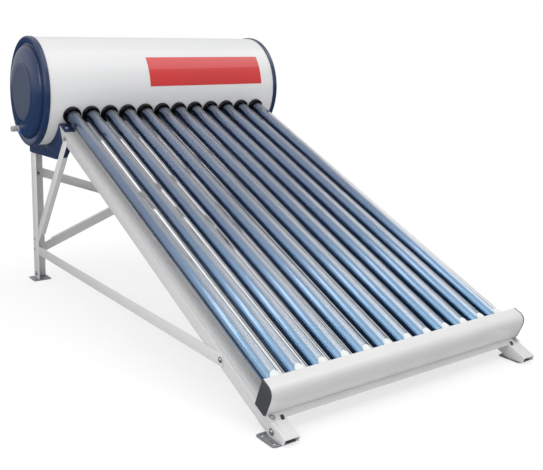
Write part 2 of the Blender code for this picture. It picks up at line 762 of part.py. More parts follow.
def make_rear_legs():
    height = SADDLE_LOW_Z - FIT - FOOT_TOP
    for name, side in SIDES:
        outer = side * LEG_OUTER_X
        inner = side * (LEG_OUTER_X - LEG_WALL)
        end = side * (LEG_OUTER_X - LEG_REAR_WIDTH)
        back = TANK_Y + LEG_BACK_Y
        front = TANK_Y + LEG_FRONT_Y
        outline = [(outer, front), (outer, back), (end, back), (end, back - LEG_WALL)]
        outline += [(inner, back - LEG_WALL), (inner, front)]
        leg = prism(outline, height, (0.0, 0.0, FOOT_TOP + height / 2.0))
        spot = [s for s in foot_spots() if s[0] == "rear_" + name][0]
        leg = cut(leg, foot_bolt_rod(spot, FOOT_BOLT_RADIUS + FIT, 0.02))
        finish("rear_leg_" + name, leg, frame_paint())


def angle_bar(start, end, x, side, trim_start, trim_end):
    """Flat bar between two (y, z) points, with a stiffening flange facing inward."""
    run = Vector((end[0] - start[0], end[1] - start[1]))
    length = run.length
    turn = math.atan2(run.y, run.x)
    along = run.normalized()
    up = Vector((-along.y, along.x))
    middle = (Vector(start) + Vector(end)) / 2.0
    flat = box((STRUT_WALL, length, STRUT_WIDTH), (x, middle.x, middle.y), (turn, 0.0, 0.0))
    inner = length - trim_start - trim_end
    offset = (trim_start - trim_end) / 2.0
    centre = middle + along * offset + up * (STRUT_WIDTH - STRUT_WALL) / 2.0
    flange_x = x - side * (STRUT_FLANGE - STRUT_WALL) / 2.0
    flange = box((STRUT_FLANGE, inner, STRUT_WALL), (flange_x, centre.x, centre.y),
                 (turn, 0.0, 0.0))
    return join(flat, flange)


def make_side_struts():
    """Upper strut and level brace of each side, between the leg and the rail."""
    rear = TANK_Y + LEG_BACK_Y - LEG_WALL - FIT - STRUT_WIDTH * 0.55
    rail_n = RAIL_TOP_N - RAIL_DEPTH / 2.0
    for name, side in SIDES:
        x = side * (STRUT_OUTER_X - STRUT_WALL / 2.0)
        top = on_slope(UPPER_STRUT_TOP_S, rail_n)
        start = (rear - 0.014, UPPER_STRUT_LOW_Z)
        end = (top.y, top.z)
        upper = angle_bar(start, end, x, side, LEG_SIDE_WIDTH, RAIL_DEPTH + 0.04)
        finish("upper_strut_" + name, upper, frame_paint())
        s = (TANK_AXIS_HEIGHT + rail_n * COS - SIDE_BRACE_Z) / SIN
        low = on_slope(s, rail_n)
        start = (rear + STRUT_WIDTH * 0.5, SIDE_BRACE_Z)
        end = (low.y - 0.012, SIDE_BRACE_Z)
        brace = angle_bar(start, end, x, side, LEG_SIDE_WIDTH, RAIL_DEPTH / SIN + 0.03)
        finish("side_brace_" + name, brace, frame_paint())


def make_cross_braces():
    """Two diagonals between the rear legs, one before and one behind their flanges."""
    reach = LEG_OUTER_X - LEG_WALL - FIT - 0.012
    rise = CROSS_BRACE_TOP_Z - CROSS_BRACE_LOW_Z
    length = math.hypot(2.0 * reach, rise) - STRUT_WIDTH * 0.4
    middle_z = (CROSS_BRACE_TOP_Z + CROSS_BRACE_LOW_Z) / 2.0
    turn = math.atan2(rise, 2.0 * reach)
    back = TANK_Y + LEG_BACK_Y
    before = back - LEG_WALL - FIT - STRUT_WALL / 2.0
    behind = back + FIT + STRUT_WALL / 2.0
    inner = 2.0 * (LEG_OUTER_X - LEG_REAR_WIDTH) - 0.03
    for name, y, tilt, facing in (("a", before, turn, -1.0), ("b", behind, -turn, 1.0)):
        flat = box((length, STRUT_WALL, STRUT_WIDTH), (0.0, y, middle_z), (0.0, tilt, 0.0))
        edge = facing * (STRUT_WIDTH - STRUT_WALL) / 2.0
        shift = Vector((math.sin(tilt) * edge, 0.0, math.cos(tilt) * edge))
        flange_y = y + facing * (STRUT_FLANGE - STRUT_WALL) / 2.0
        spot = Vector((0.0, flange_y, middle_z)) + shift
        flange = box((inner, STRUT_FLANGE, STRUT_WALL), spot, (0.0, tilt, 0.0))
        finish("cross_brace_" + name, join(flat, flange), frame_paint())


def on_tank_side(s, n):
    """(y, z) about the tank's axis of a point on the slope."""
    return Vector((-s * COS - n * SIN, -s * SIN + n * COS))


def saddle_front(inset):
    """Top and bottom of the saddle's front edge, which follows the rail's mitre."""
    top = on_tank_side(mitre_point(RAIL_TOP_N), RAIL_TOP_N)
    low = on_tank_side(mitre_point(RAIL_LOW_N), RAIL_LOW_N)
    along = (low - top).normalized()
    inward = Vector((-along.y, along.x))
    if inward.x < 0.0:
        inward = -inward
    shift = inward * (FIT + inset)
    return top + shift, low + shift + along * (SADDLE_TOE - inset)


def saddle_outline(inset):
    """Cradle plate seen from the side, in (y, z); the outer one carries the ear."""
    radius = (SHELL_RADIUS + FIT) / math.cos(math.pi / SHELL_STEPS) + inset
    rear = SADDLE_REAR_Y - inset
    low = -SADDLE_DEPTH + inset
    top, toe = saddle_front(inset)
    ear_low = RAIL_TOP_N + FIT
    ear_high = ear_low + SADDLE_WALL
    along = (toe - top).normalized()
    half = top.dot(along)
    rest = top.length_squared - radius * radius
    meet = top - along * (half + math.sqrt(half * half - rest))
    if inset == 0.0:
        meet = on_tank_side(math.sqrt(radius * radius - ear_high * ear_high), ear_high)
    rear_angle = math.atan2(-math.sqrt(radius * radius - rear * rear), rear)
    front_angle = math.atan2(meet.y, meet.x)
    line = []
    for index in range(SADDLE_STEPS + 1):
        part = index / SADDLE_STEPS
        turn = rear_angle + (front_angle - rear_angle) * part
        reach = radius / math.cos((front_angle - rear_angle) / SADDLE_STEPS / 2.0)
        line.append((reach * math.cos(turn), reach * math.sin(turn)))
    if inset == 0.0:
        line.append(on_tank_side(SADDLE_EAR_END_S, ear_high)[:])
        line.append(on_tank_side(SADDLE_EAR_END_S, ear_low)[:])
        slant = math.hypot(RAIL_MITRE, RAIL_DEPTH)
        root = FIT * (slant + RAIL_MITRE) / RAIL_DEPTH
        line.append((top - along * root)[:])
    line.append(toe[:])
    line.append((SADDLE_FRONT_Y + inset, low))
    line.append((rear, low))
    return line


def make_saddles():
    """Cradle with a web outside and a flange all round, and an ear on the rail."""
    for name, side in SIDES:
        x = side * (RAIL_OUTER_X - SADDLE_WIDTH / 2.0)
        centre = (x, TANK_Y, TANK_AXIS_HEIGHT)
        body = prism(saddle_outline(0.0), SADDLE_WIDTH, centre, ALONG_X)
        behind = (x - side * SADDLE_WALL, TANK_Y, TANK_AXIS_HEIGHT)
        pocket = prism(saddle_outline(SADDLE_WALL), SADDLE_WIDTH, behind, ALONG_X)
        finish("tank_saddle_" + name, cut(body, pocket), blue_plastic())


def rounded_outline(width, length, corner, centre):
    line = []
    for index, (sx, sy) in enumerate(((1, 1), (-1, 1), (-1, -1), (1, -1))):
        cx = centre[0] + sx * (width / 2.0 - corner)
        cy = centre[1] + sy * (length / 2.0 - corner)
        for part in range(4):
            turn = math.pi / 2.0 * (index + part / 3.0)
            line.append((cx + corner * math.cos(turn), cy + corner * math.sin(turn)))
    return line


def make_feet():
    for spot in foot_spots():
        name, side, face, wall, y, _, height = spot
        inner = face - wall - FIT
        x = side * (inner - FOOT_WIDTH * 0.15)
        outline = rounded_outline(FOOT_WIDTH, FOOT_LENGTH, FOOT_CORNER, (x, y))
        hole_y = FOOT_LENGTH * 0.32
        holes = []
        for dx in (-0.33, 0.33):
            for dy in (-1.0, 1.0):
                holes.append(circle(FOOT_HOLE_RADIUS, 8, (x + dx * FOOT_WIDTH, y + dy * hole_y)))
        plate = prism(outline, FOOT_THICKNESS, (0.0, 0.0, FOOT_THICKNESS / 2.0), holes=holes)
        ear_x = side * (inner - FOOT_THICKNESS / 2.0)
        ear = box((FOOT_THICKNESS, FOOT_EAR_WIDTH, height), (ear_x, y, height / 2.0))
        foot = cut(join(plate, ear), foot_bolt_rod(spot, FOOT_BOLT_RADIUS + FIT, 0.03))
        finish("foot_" + name, foot, zinc())


def bolt_mesh(radius, head, nut, grip):
    """Round-headed bolt and its nut in one; the head seats at z = 0."""
    profile = [(0.0, BOLT_HEAD_HEIGHT), (head * 0.6, BOLT_HEAD_HEIGHT * 0.85)]
    profile += [(head * 0.9, BOLT_HEAD_HEIGHT * 0.45), (head, 0.0), (radius, 0.0)]
    profile += [(radius, -grip), (nut, -grip), (nut, -grip - BOLT_NUT_HEIGHT)]
    profile += [(radius, -grip - BOLT_NUT_HEIGHT), (radius, -grip - BOLT_NUT_HEIGHT - 0.004)]
    profile.append((0.0, -grip - BOLT_NUT_HEIGHT - 0.004))
    return lathe(profile, BOLT_STEPS)


def make_bolts():
    for spot in foot_spots():
        name, side, face, wall, y, z, _ = spot
        grip = wall + FOOT_THICKNESS + 3.0 * FIT
        shape = bolt_mesh(FOOT_BOLT_RADIUS, FOOT_BOLT_HEAD, FOOT_BOLT_NUT, grip)
        bolt = moved(shape, (side * (face + FIT), y, z), (0.0, side * math.pi / 2.0, 0.0))
        finish("foot_bolt_" + name, bolt, zinc(), smooth=True)
    for name, side in SIDES:
        grip = BAR_WALL + RAIL_WALL + 3.0 * FIT
        shape = bolt_mesh(BAR_BOLT_RADIUS, BAR_BOLT_HEAD, BAR_BOLT_NUT, grip)
        s = (BAR_FRONT + FLANGE_END_S) / 2.0
        seat = on_slope(s, BAR_LOW_N + BAR_WALL + FIT, side * BAR_BOLT_X)
        bolt = moved(shape, seat, (SLOPE, 0.0, 0.0))
        finish("tail_bar_bolt_" + name, bolt, zinc(), smooth=True)


make_outer_shell()
make_insulation()
make_inner_tank()
make_end_caps()
make_pipes()
make_front_label()
make_tubes()
make_dust_rings()
make_tail_bar()
make_bar_caps()
make_tail_cups()
make_front_rails()
make_rear_legs()
make_side_struts()
make_cross_braces()
make_saddles()
make_feet()
make_bolts()
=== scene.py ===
import json
import math
import bpy
from mathutils import Matrix, Vector


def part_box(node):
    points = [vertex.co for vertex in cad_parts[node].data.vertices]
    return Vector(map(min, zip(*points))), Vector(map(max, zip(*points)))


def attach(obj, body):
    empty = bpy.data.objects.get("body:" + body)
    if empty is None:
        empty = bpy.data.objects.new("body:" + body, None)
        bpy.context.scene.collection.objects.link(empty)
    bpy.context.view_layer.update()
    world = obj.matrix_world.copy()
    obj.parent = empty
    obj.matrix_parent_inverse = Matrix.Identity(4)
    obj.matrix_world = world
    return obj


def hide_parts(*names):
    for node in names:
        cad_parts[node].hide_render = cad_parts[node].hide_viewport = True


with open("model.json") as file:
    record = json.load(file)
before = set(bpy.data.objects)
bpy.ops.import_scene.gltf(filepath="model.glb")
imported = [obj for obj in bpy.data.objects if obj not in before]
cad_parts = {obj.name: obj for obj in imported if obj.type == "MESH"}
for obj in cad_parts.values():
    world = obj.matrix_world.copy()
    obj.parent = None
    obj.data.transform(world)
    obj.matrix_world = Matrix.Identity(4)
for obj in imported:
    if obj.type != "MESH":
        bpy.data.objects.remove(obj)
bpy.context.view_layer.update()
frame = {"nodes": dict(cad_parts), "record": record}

# ---- camera ----------------------------------------------------------------------------------
# Stands at tank height off the front left corner.  The lens is shifted down, as on a view
# camera, so that upright legs stay nearly upright.

camera = bpy.data.objects.new("camera", bpy.data.cameras.new("camera"))
bpy.context.scene.collection.objects.link(camera)
camera.location = (-1.6680, -2.6080, 1.0160)
camera.rotation_euler = (math.radians(84.85), math.radians(0.26), math.radians(-34.34))
camera.data.lens = 52.245
camera.data.shift_x = 0.0198
camera.data.shift_y = -0.1984
bpy.context.scene.camera = camera

# ---- inner tank and foam ---------------------------------------------------------------------
# The water lies in a rolled stainless drum; polyurethane foam, foamed in place, fills the
# room round it.  Both stay as the frame gives them, behind the shell.


def from_hex(code):
    """Linear colour from an sRGB hex value."""
    parts = [int(code[i:i + 2], 16) / 255.0 for i in (0, 2, 4)]
    line = [c / 12.92 if c <= 0.04045 else ((c + 0.055) / 1.055) ** 2.4 for c in parts]
    return (*line, 1.0)


def add_node(tree, kind, settings, links=()):
    """Add a node; settings name its properties or sockets, links pair a socket and a source."""
    node = tree.nodes.new(kind)
    for name, value in settings.items():
        if isinstance(name, str) and hasattr(node, name):
            setattr(node, name, value)
        else:
            node.inputs[name].default_value = value
    for socket, source in links:
        tree.links.new(source, node.inputs[socket])
    return node


def new_material(name, settings):
    """A named Principled material, its node tree and its shader."""
    made = bpy.data.materials.new(name)
    made.use_nodes = True
    shader = made.node_tree.nodes["Principled BSDF"]
    for socket, value in settings.items():
        shader.inputs[socket].default_value = value
    return made, made.node_tree, shader


# Grain, peel and brushing are mostly finer than half a millimetre.  They are drawn at about
# 0.7 to 3 mm, coarser than real, so that they show.
def surface_detail(tree, shader, light, dark, patch, grain, depth, rough):
    """Two close tones in soft patches, fine relief and uneven gloss; sizes in millimetres."""
    place = add_node(tree, "ShaderNodeTexCoord", {}).outputs["Object"]
    cloud = add_node(tree, "ShaderNodeTexNoise", {"Scale": 1000.0 / patch, "Detail": 3.0},
                     [("Vector", place)])
    tone = add_node(tree, "ShaderNodeMix", {"data_type": "RGBA", 6: from_hex(light),
                                            7: from_hex(dark)}, [(0, cloud.outputs["Fac"])])
    tree.links.new(tone.outputs[2], shader.inputs["Base Color"])
    fine = add_node(tree, "ShaderNodeTexNoise", {"Scale": 1000.0 / grain, "Detail": 2.0},
                    [("Vector", place)])
    bump = add_node(tree, "ShaderNodeBump", {"Strength": 1.0, "Distance": depth / 1000.0},
                    [("Height", fine.outputs["Fac"])])
    tree.links.new(bump.outputs["Normal"], shader.inputs["Normal"])
    gloss = add_node(tree, "ShaderNodeMapRange", {"To Min": rough[0], "To Max": rough[1]},
                     [("Value", cloud.outputs["Fac"])])
    tree.links.new(gloss.outputs["Result"], shader.inputs["Roughness"])


# Rolled stainless: a soft, slightly streaked mirror.
stainless, tree, shader = new_material("rolled stainless steel", {"Metallic": 1.0})
surface_detail(tree, shader, "B9BBBE", "A6A9AD", 60.0, 1.5, 0.02, (0.22, 0.34))
# Cut foam: straw-coloured, matt and finely pitted.
foam, tree, shader = new_material("rigid polyurethane foam", {"Specular IOR Level": 0.3})
surface_detail(tree, shader, "DCC48A", "C9AE6C", 9.0, 1.2, 0.4, (0.85, 0.95))
frame["nodes"]["inner_tank"].data.materials.clear()
frame["nodes"]["inner_tank"].data.materials.append(stainless)
frame["nodes"]["insulation_foam"].data.materials.clear()
frame["nodes"]["insulation_foam"].data.materials.append(foam)

# ---- outer shell -----------------------------------------------------------------------------
# Rolled sheet steel with a white powder coat: a smooth gloss with a very faint orange
# peel.  Twelve round holes let the tubes in, and a folded seam closes it at the back.

# The tubes slide straight up the slope, so their joint gives the collector's tilt.  Places on
# the collector are (s, n): s down the slope from the tank's axis, n above it.
SHELL_LOW, SHELL_HIGH = (Vector(corner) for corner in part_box("outer_shell"))
TANK = (SHELL_LOW + SHELL_HIGH) / 2.0
SHELL_RADIUS = (SHELL_HIGH.z - SHELL_LOW.z) / 2.0
SHELL_HALF = SHELL_HIGH.x
DOWN = -Vector(frame["record"]["behaviour"]["joints"][0]["axis"]).normalized()
ABOVE = Vector((0.0, DOWN.z, -DOWN.y))
ACROSS = Vector((1.0, 0.0, 0.0))
SHELL_WALL = 0.001
SHELL_SIDES = 192
HOLE_RADIUS = 0.0325
TUBE_XS = [sum(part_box("vacuum_tube_%02d" % i)[end][0] for end in (0, 1)) / 2.0
           for i in range(1, 13)]


def on_slope(s, n=0.0, x=0.0):
    """A place s down the slope from the tank's axis, n above it and x across."""
    return Vector((x, TANK.y, TANK.z)) + DOWN * s + ABOVE * n


def axes(first, second, origin):
    """Placing matrix whose X and Y run along two directions."""
    third = first.cross(second)
    turn = Matrix((first, second, third)).transposed().to_4x4()
    return Matrix.Translation(origin) @ turn


def select_only(*pieces):
    """Select these pieces and nothing else; the first one is active."""
    bpy.ops.object.select_all(action="DESELECT")
    for piece in pieces:
        piece.select_set(True)
    bpy.context.view_layer.objects.active = pieces[0]


def mend(piece):
    """Merge doubled points and turn every face outwards."""
    select_only(piece)
    bpy.ops.object.mode_set(mode="EDIT")
    bpy.ops.mesh.select_all(action="SELECT")
    bpy.ops.mesh.remove_doubles(threshold=0.00001)
    bpy.ops.mesh.normals_make_consistent(inside=False)
    bpy.ops.object.mode_set(mode="OBJECT")


def apply_modifiers(piece):
    """Apply a piece's modifiers in their order."""
    select_only(piece)
    for step in list(piece.modifiers):
        bpy.ops.object.modifier_apply(modifier=step.name)


def turned(rings, sides, place, closed=False):
    """Turn a piece about Z: a disc or an open ring grown through (radius, height) rings."""
    bpy.ops.object.select_all(action="DESELECT")
    radius, height = rings[0]
    fill = "NOTHING" if closed else "NGON"
    bpy.ops.mesh.primitive_circle_add(vertices=sides, radius=radius, fill_type=fill,
                                      location=(0.0, 0.0, height))
    piece = bpy.context.object
    bpy.ops.object.mode_set(mode="EDIT")
    bpy.ops.mesh.select_all(action="SELECT")
    for wide, high in list(rings[1:]) + ([rings[0]] if closed else []):
        bpy.ops.mesh.extrude_edges_move(TRANSFORM_OT_translate={"value": (0, 0, high - height)})
        grow = wide / radius
        bpy.ops.transform.resize(value=(grow, grow, 1.0), center_override=(0.0, 0.0, high))
        radius, height = wide, high
    if not closed:
        bpy.ops.mesh.edge_face_add()
    bpy.ops.object.mode_set(mode="OBJECT")
    piece.matrix_world = place @ piece.matrix_world
    mend(piece)
    return piece


def joined(pieces):
    """Join pieces into the first one."""
    select_only(*pieces)
    bpy.ops.object.join()
    return bpy.context.object


def finish_piece(piece, name, look, body="frame", nodes=(), smooth=35.0):
    """Name, finish and hang a piece on its body; its place stays in its mesh."""
    piece.name = name
    piece.data.name = name
    piece.data.materials.clear()
    piece.data.materials.append(look)
    select_only(piece)
    bpy.ops.object.transform_apply(location=True, rotation=True, scale=True)
    bpy.ops.object.shade_smooth_by_angle(angle=math.radians(smooth))
    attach(piece, body)
    if nodes:
        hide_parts(*nodes)
    return piece


ALONG_TANK = axes(Vector((0.0, 1.0, 0.0)), Vector((0.0, 0.0, 1.0)), TANK)

# Powder coat: an even, soft-edged gloss over a very faint orange peel.
white_coat, tree, shader = new_material("white powder-coated steel", {"Coat Weight": 0.25,
                                                                     "Coat Roughness": 0.12})
surface_detail(tree, shader, "E3E3E4", "DEDFE0", 300.0, 2.5, 0.012, (0.30, 0.38))

inner = SHELL_RADIUS - SHELL_WALL
shell = turned([(inner, -SHELL_HALF), (SHELL_RADIUS, -SHELL_HALF), (SHELL_RADIUS, SHELL_HALF),
                (inner, SHELL_HALF)], SHELL_SIDES, ALONG_TANK, closed=True)
drills = []
for x in TUBE_XS:
    bpy.ops.object.select_all(action="DESELECT")
    bpy.ops.mesh.primitive_cylinder_add(vertices=48, radius=HOLE_RADIUS, depth=0.09)
    drill = bpy.context.object
    drill.matrix_world = axes(ACROSS, ABOVE, on_slope(SHELL_RADIUS, 0.0, x))
    drills.append(drill)
drill = joined(drills)
select_only(shell)
bpy.ops.object.transform_apply(location=True, rotation=True, scale=True)
cut = shell.modifiers.new("tube holes", "BOOLEAN")
cut.object = drill
apply_modifiers(shell)
bpy.data.objects.remove(drill, do_unlink=True)
finish_piece(shell, "painted_shell", white_coat, nodes=["outer_shell"])


def ease_edges(piece, width, segments=2, angle=30.0):
    """Round every edge sharper than angle."""
    step = piece.modifiers.new("ease", "BEVEL")
    step.width = width
    step.segments = segments
    step.limit_method = "ANGLE"
    step.angle_limit = math.radians(angle)
    step.use_clamp_overlap = True
    apply_modifiers(piece)


def plate(outline, depth, place, holes=()):
    """Cut a flat outline, with holes, from stock of that depth."""
    curve = bpy.data.curves.new("plate", "CURVE")
    curve.dimensions = "2D"
    curve.fill_mode = "BOTH"
    curve.extrude = depth / 2.0
    for ring in (outline, *holes):
        spline = curve.splines.new("POLY")
        spline.points.add(len(ring) - 1)
        for point, (u, v) in zip(spline.points, ring):
            point.co = (u, v, 0.0, 1.0)
        spline.use_cyclic_u = True
    piece = bpy.data.objects.new("plate", curve)
    bpy.context.scene.collection.objects.link(piece)
    select_only(piece)
    bpy.ops.object.convert(target="MESH")
    piece = bpy.context.object
    piece.matrix_world = place
    mend(piece)
    bpy.ops.object.mode_set(mode="EDIT")
    bpy.ops.mesh.select_all(action="SELECT")
    bpy.ops.mesh.dissolve_limited(angle_limit=math.radians(0.5))
    bpy.ops.object.mode_set(mode="OBJECT")
    return piece


# The folded lock seam runs the length of the shell, low at the back, and ends under the caps.
SEAM_DROP = math.radians(30.0)
SEAM_OUT = Vector((0.0, math.cos(SEAM_DROP), -math.sin(SEAM_DROP)))
SEAM_END_GAP = 0.017
seam = plate([(-0.006, -0.0002), (0.006, -0.0002), (0.006, 0.0006), (-0.006, 0.0006)],
             2.0 * (SHELL_HALF - SEAM_END_GAP),
             axes(ACROSS.cross(SEAM_OUT) * -1.0, SEAM_OUT, TANK + SEAM_OUT * SHELL_RADIUS))
ease_edges(seam, 0.0003)
finish_piece(seam, "shell_lock_seam", white_coat)

# ---- end caps --------------------------------------------------------------------------------
# Injection-moulded plastic, dark blue, with the fine even texture of an etched mould.  A
# band reaches over the shell, then a rim, a groove, a dome and a flat middle plate.

SIDES = (("left", -1.0), ("right", 1.0))
CAP_SIDES = 144
cap_low, cap_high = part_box("end_cap_right")
CAP_RADIUS = (cap_high[2] - cap_low[2]) / 2.0
CAP_TOP = cap_high[0]
CAP_MOUTH = cap_low[0]
RIM = SHELL_HALF + 0.0065
PLATE_RADIUS = 0.1240

# Moulded ABS: dark blue and clean-glossed, with a greyer, matt-grained middle plate.
blue_cap, tree, shader = new_material("moulded dark blue ABS", {"IOR": 1.54})
surface_detail(tree, shader, "253A60", "1D2E4E", 120.0, 0.9, 0.03, (0.20, 0.27))
polished = {socket: shader.inputs[socket].links[0].from_socket
            for socket in ("Base Color", "Roughness")}
place = add_node(tree, "ShaderNodeTexCoord", {}).outputs["Object"]
off_axis = add_node(tree, "ShaderNodeVectorMath",
                    {"operation": "SUBTRACT", 1: (0.0, TANK.y, TANK.z)}, [(0, place)])
flat = add_node(tree, "ShaderNodeVectorMath", {"operation": "MULTIPLY", 1: (0.0, 1.0, 1.0)},
                [(0, off_axis.outputs["Vector"])])
radius = add_node(tree, "ShaderNodeVectorMath", {"operation": "LENGTH"},
                  [(0, flat.outputs["Vector"])])
grained = add_node(tree, "ShaderNodeMapRange", {"From Min": PLATE_RADIUS - 0.0015,
                                                "From Max": PLATE_RADIUS,
                                                "To Min": 1.0, "To Max": 0.0},
                   [("Value", radius.outputs["Value"])])
blues = add_node(tree, "ShaderNodeMix", {"data_type": "RGBA", 7: from_hex("414C64")},
                 [(0, grained.outputs["Result"]), (6, polished["Base Color"])])
tree.links.new(blues.outputs[2], shader.inputs["Base Color"])
glosses = add_node(tree, "ShaderNodeMix", {"data_type": "FLOAT", 3: 0.55},
                   [(0, grained.outputs["Result"]), (2, polished["Roughness"])])
tree.links.new(glosses.outputs[0], shader.inputs["Roughness"])


def arc(centre, radius, first, last, steps):
    """Points on an arc, angles in degrees."""
    turns = [math.radians(first + (last - first) * i / steps) for i in range(steps + 1)]
    return [(centre[0] + radius * math.cos(t), centre[1] + radius * math.sin(t)) for t in turns]


def dome(radius, height, rise, run, steps):
    """Rings of an outward-falling dome, from its plate's edge to its foot."""
    rings = []
    for i in range(1, steps + 1):
        part = i / steps
        rings.append((radius + run * part, height - rise * (1.0 - math.sqrt(1.0 - part * part))))
    return rings


# Plate and its shallow ring groove, dome, rim groove, rim, and the band over the shell.
RIM_FLAT = 0.2300
CAP_RINGS = [(0.006, CAP_TOP), (0.100, CAP_TOP), (0.1005, CAP_TOP - 0.0008),
             (0.1025, CAP_TOP - 0.0008), (0.103, CAP_TOP), (0.1235, CAP_TOP),
             (0.1255, CAP_TOP - 0.0006), (0.1275, CAP_TOP - 0.0030)]
CAP_RINGS += dome(0.1275, CAP_TOP - 0.0030, 0.0200, 0.0720, 12)
CAP_RINGS += [(0.2000, RIM - 0.0040), (0.2085, RIM - 0.0040), (0.2092, RIM - 0.0010),
              (0.2110, RIM), (RIM_FLAT, RIM)]
rounded = arc((RIM - 0.0080, RIM_FLAT), CAP_RADIUS - RIM_FLAT, 0.0, 90.0, 6)
CAP_RINGS += [(radius, height) for height, radius in rounded][1:]
CAP_RINGS[-1] = (CAP_RADIUS, RIM - 0.0080)
CAP_RINGS += [(CAP_RADIUS, CAP_MOUTH + 0.0006), (CAP_RADIUS - 0.0006, CAP_MOUTH),
              (SHELL_RADIUS + 0.0004, CAP_MOUTH), (SHELL_RADIUS + 0.0004, SHELL_HALF + 0.0005),
              (0.2, SHELL_HALF + 0.0005)]
for name, side in SIDES:
    outward = axes(Vector((0.0, side, 0.0)), Vector((0.0, 0.0, 1.0)),
                   Vector((0.0, TANK.y, TANK.z)))
    cap = turned(CAP_RINGS, CAP_SIDES, outward)
    finish_piece(cap, "moulded_cap_" + name, blue_cap, nodes=["end_cap_" + name])

# ---- pipe stubs and collars ------------------------------------------------------------------
# A three-quarter-inch threaded stub of plated brass on each end, in a bright blue moulded
# collar that closes the cap's hole.

THREAD_PITCH = 0.001814
THREAD_DEPTH = 0.0012
STUB_BORE = 0.0100
STUB_NECK = 0.0126
# Nickel plate: pale silver, bright but not a mirror.
plated, tree, shader = new_material("nickel-plated brass", {"Metallic": 0.45})
surface_detail(tree, shader, "EDEDEE", "DCDDDE", 14.0, 0.8, 0.01, (0.22, 0.34))
# Moulded polypropylene: strong blue with a slightly waxy gloss.
bright_blue, tree, shader = new_material("moulded bright blue polypropylene", {"IOR": 1.49})
surface_detail(tree, shader, "2F64B0", "2858A2", 30.0, 0.8, 0.03, (0.28, 0.36))
for name, side in SIDES:
    low, high = (Vector(corner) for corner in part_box("pipe_nipple_" + name))
    centre = (low + high) / 2.0
    radius = (high.z - low.z) / 2.0
    collar_low, collar_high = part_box("pipe_collar_" + name)
    collar_radius = (collar_high[2] - collar_low[2]) / 2.0
    inside, tip = min(abs(low.x), abs(high.x)), max(abs(low.x), abs(high.x))
    collar_foot, collar_top = sorted((abs(collar_low[0]), abs(collar_high[0])))
    outward = axes(Vector((0.0, side, 0.0)), Vector((0.0, 0.0, 1.0)),
                   Vector((0.0, centre.y, centre.z)))
    rings = [(STUB_BORE, inside), (STUB_NECK, inside), (STUB_NECK, collar_top - 0.004)]
    height = collar_top - 0.003
    while height + THREAD_PITCH < tip - 0.001:
        rings += [(radius - THREAD_DEPTH, height), (radius, height + 0.4 * THREAD_PITCH),
                  (radius, height + 0.6 * THREAD_PITCH)]
        height += THREAD_PITCH
    rings += [(radius - THREAD_DEPTH, height), (radius - THREAD_DEPTH, tip - 0.0005),
              (radius - THREAD_DEPTH - 0.0005, tip), (STUB_BORE, tip)]
    stub = turned(rings, 48, outward, closed=True)
    finish_piece(stub, "threaded_stub_" + name, plated,
                 nodes=["pipe_nipple_" + name])
    rings = [(radius + 0.0003, collar_foot), (collar_radius, collar_foot),
             (collar_radius, collar_top - 0.004), (collar_radius - 0.0012, collar_top - 0.0012),
             (collar_radius - 0.004, collar_top), (radius + 0.002, collar_top),
             (radius + 0.0003, collar_top - 0.0015)]
    collar = turned(rings, 64, outward, closed=True)
    finish_piece(collar, "moulded_collar_" + name, bright_blue,
                 nodes=["pipe_collar_" + name])

# ---- front label -----------------------------------------------------------------------------
# A thin enamelled plate under clear lacquer, bent to the shell and glued on.  It is left
# bare, with no lettering on it.

label_low, label_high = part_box("front_label")
# Enamel under lacquer: deep even red with a sharp, glassy gloss.
red, tree, shader = new_material("red enamelled plate", {"Coat Weight": 1.0,
                                                        "Coat Roughness": 0.05})
surface_detail(tree, shader, "D00305", "C60204", 250.0, 3.0, 0.004, (0.28, 0.34))
LABEL_STEPS = 40
first = math.degrees(math.asin((label_low[2] - TANK.z) / SHELL_RADIUS))
last = math.degrees(math.asin((label_high[2] - TANK.z) / (SHELL_RADIUS + 0.0011)))
outer = arc((0.0, 0.0), SHELL_RADIUS + 0.0010, 180.0 - first, 180.0 - last, LABEL_STEPS)
inner = arc((0.0, 0.0), SHELL_RADIUS + 0.0002, 180.0 - last, 180.0 - first, LABEL_STEPS)
middle = Vector(((label_low[0] + label_high[0]) / 2.0, TANK.y, TANK.z))
label = plate(outer + inner, label_high[0] - label_low[0],
              axes(Vector((0.0, 1.0, 0.0)), Vector((0.0, 0.0, 1.0)), middle))
finish_piece(label, "plain_red_label", red, nodes=["front_label"])

# ---- glass tubes -----------------------------------------------------------------------------
# Each tube is a flask of two borosilicate glasses with a vacuum between them.  The inner
# glass carries the blue sputtered absorber.  Each tube slides in its ring as one body.

TUBE_SIDES = 48
GLASS_RADIUS = 0.029
GLASS_WALL = 0.0016
ABSORBER_RADIUS = 0.0235
ABSORBER_WALL = 0.0015
TAIL_GAP = 0.012
TUBE_PITCH = TUBE_XS[1] - TUBE_XS[0]

# Drawn glass: clear and colourless, seen by its edges and reflections.  Lamps shine through.
glass, tree, shader = new_material("drawn borosilicate glass",
                                   {"Base Color": (1.0, 1.0, 1.0, 1.0), "Roughness": 0.01,
                                    "IOR": 1.47, "Transmission Weight": 1.0})
lamps = add_node(tree, "ShaderNodeLightPath", {})
clear = add_node(tree, "ShaderNodeBsdfTransparent", {"Color": (0.94, 0.96, 0.97, 1.0)})
pane = add_node(tree, "ShaderNodeMixShader", {}, [(0, lamps.outputs["Is Shadow Ray"]),
                                                  (1, shader.outputs["BSDF"]),
                                                  (2, clear.outputs["BSDF"])])
tree.links.new(pane.outputs["Shader"], tree.nodes["Material Output"].inputs["Surface"])

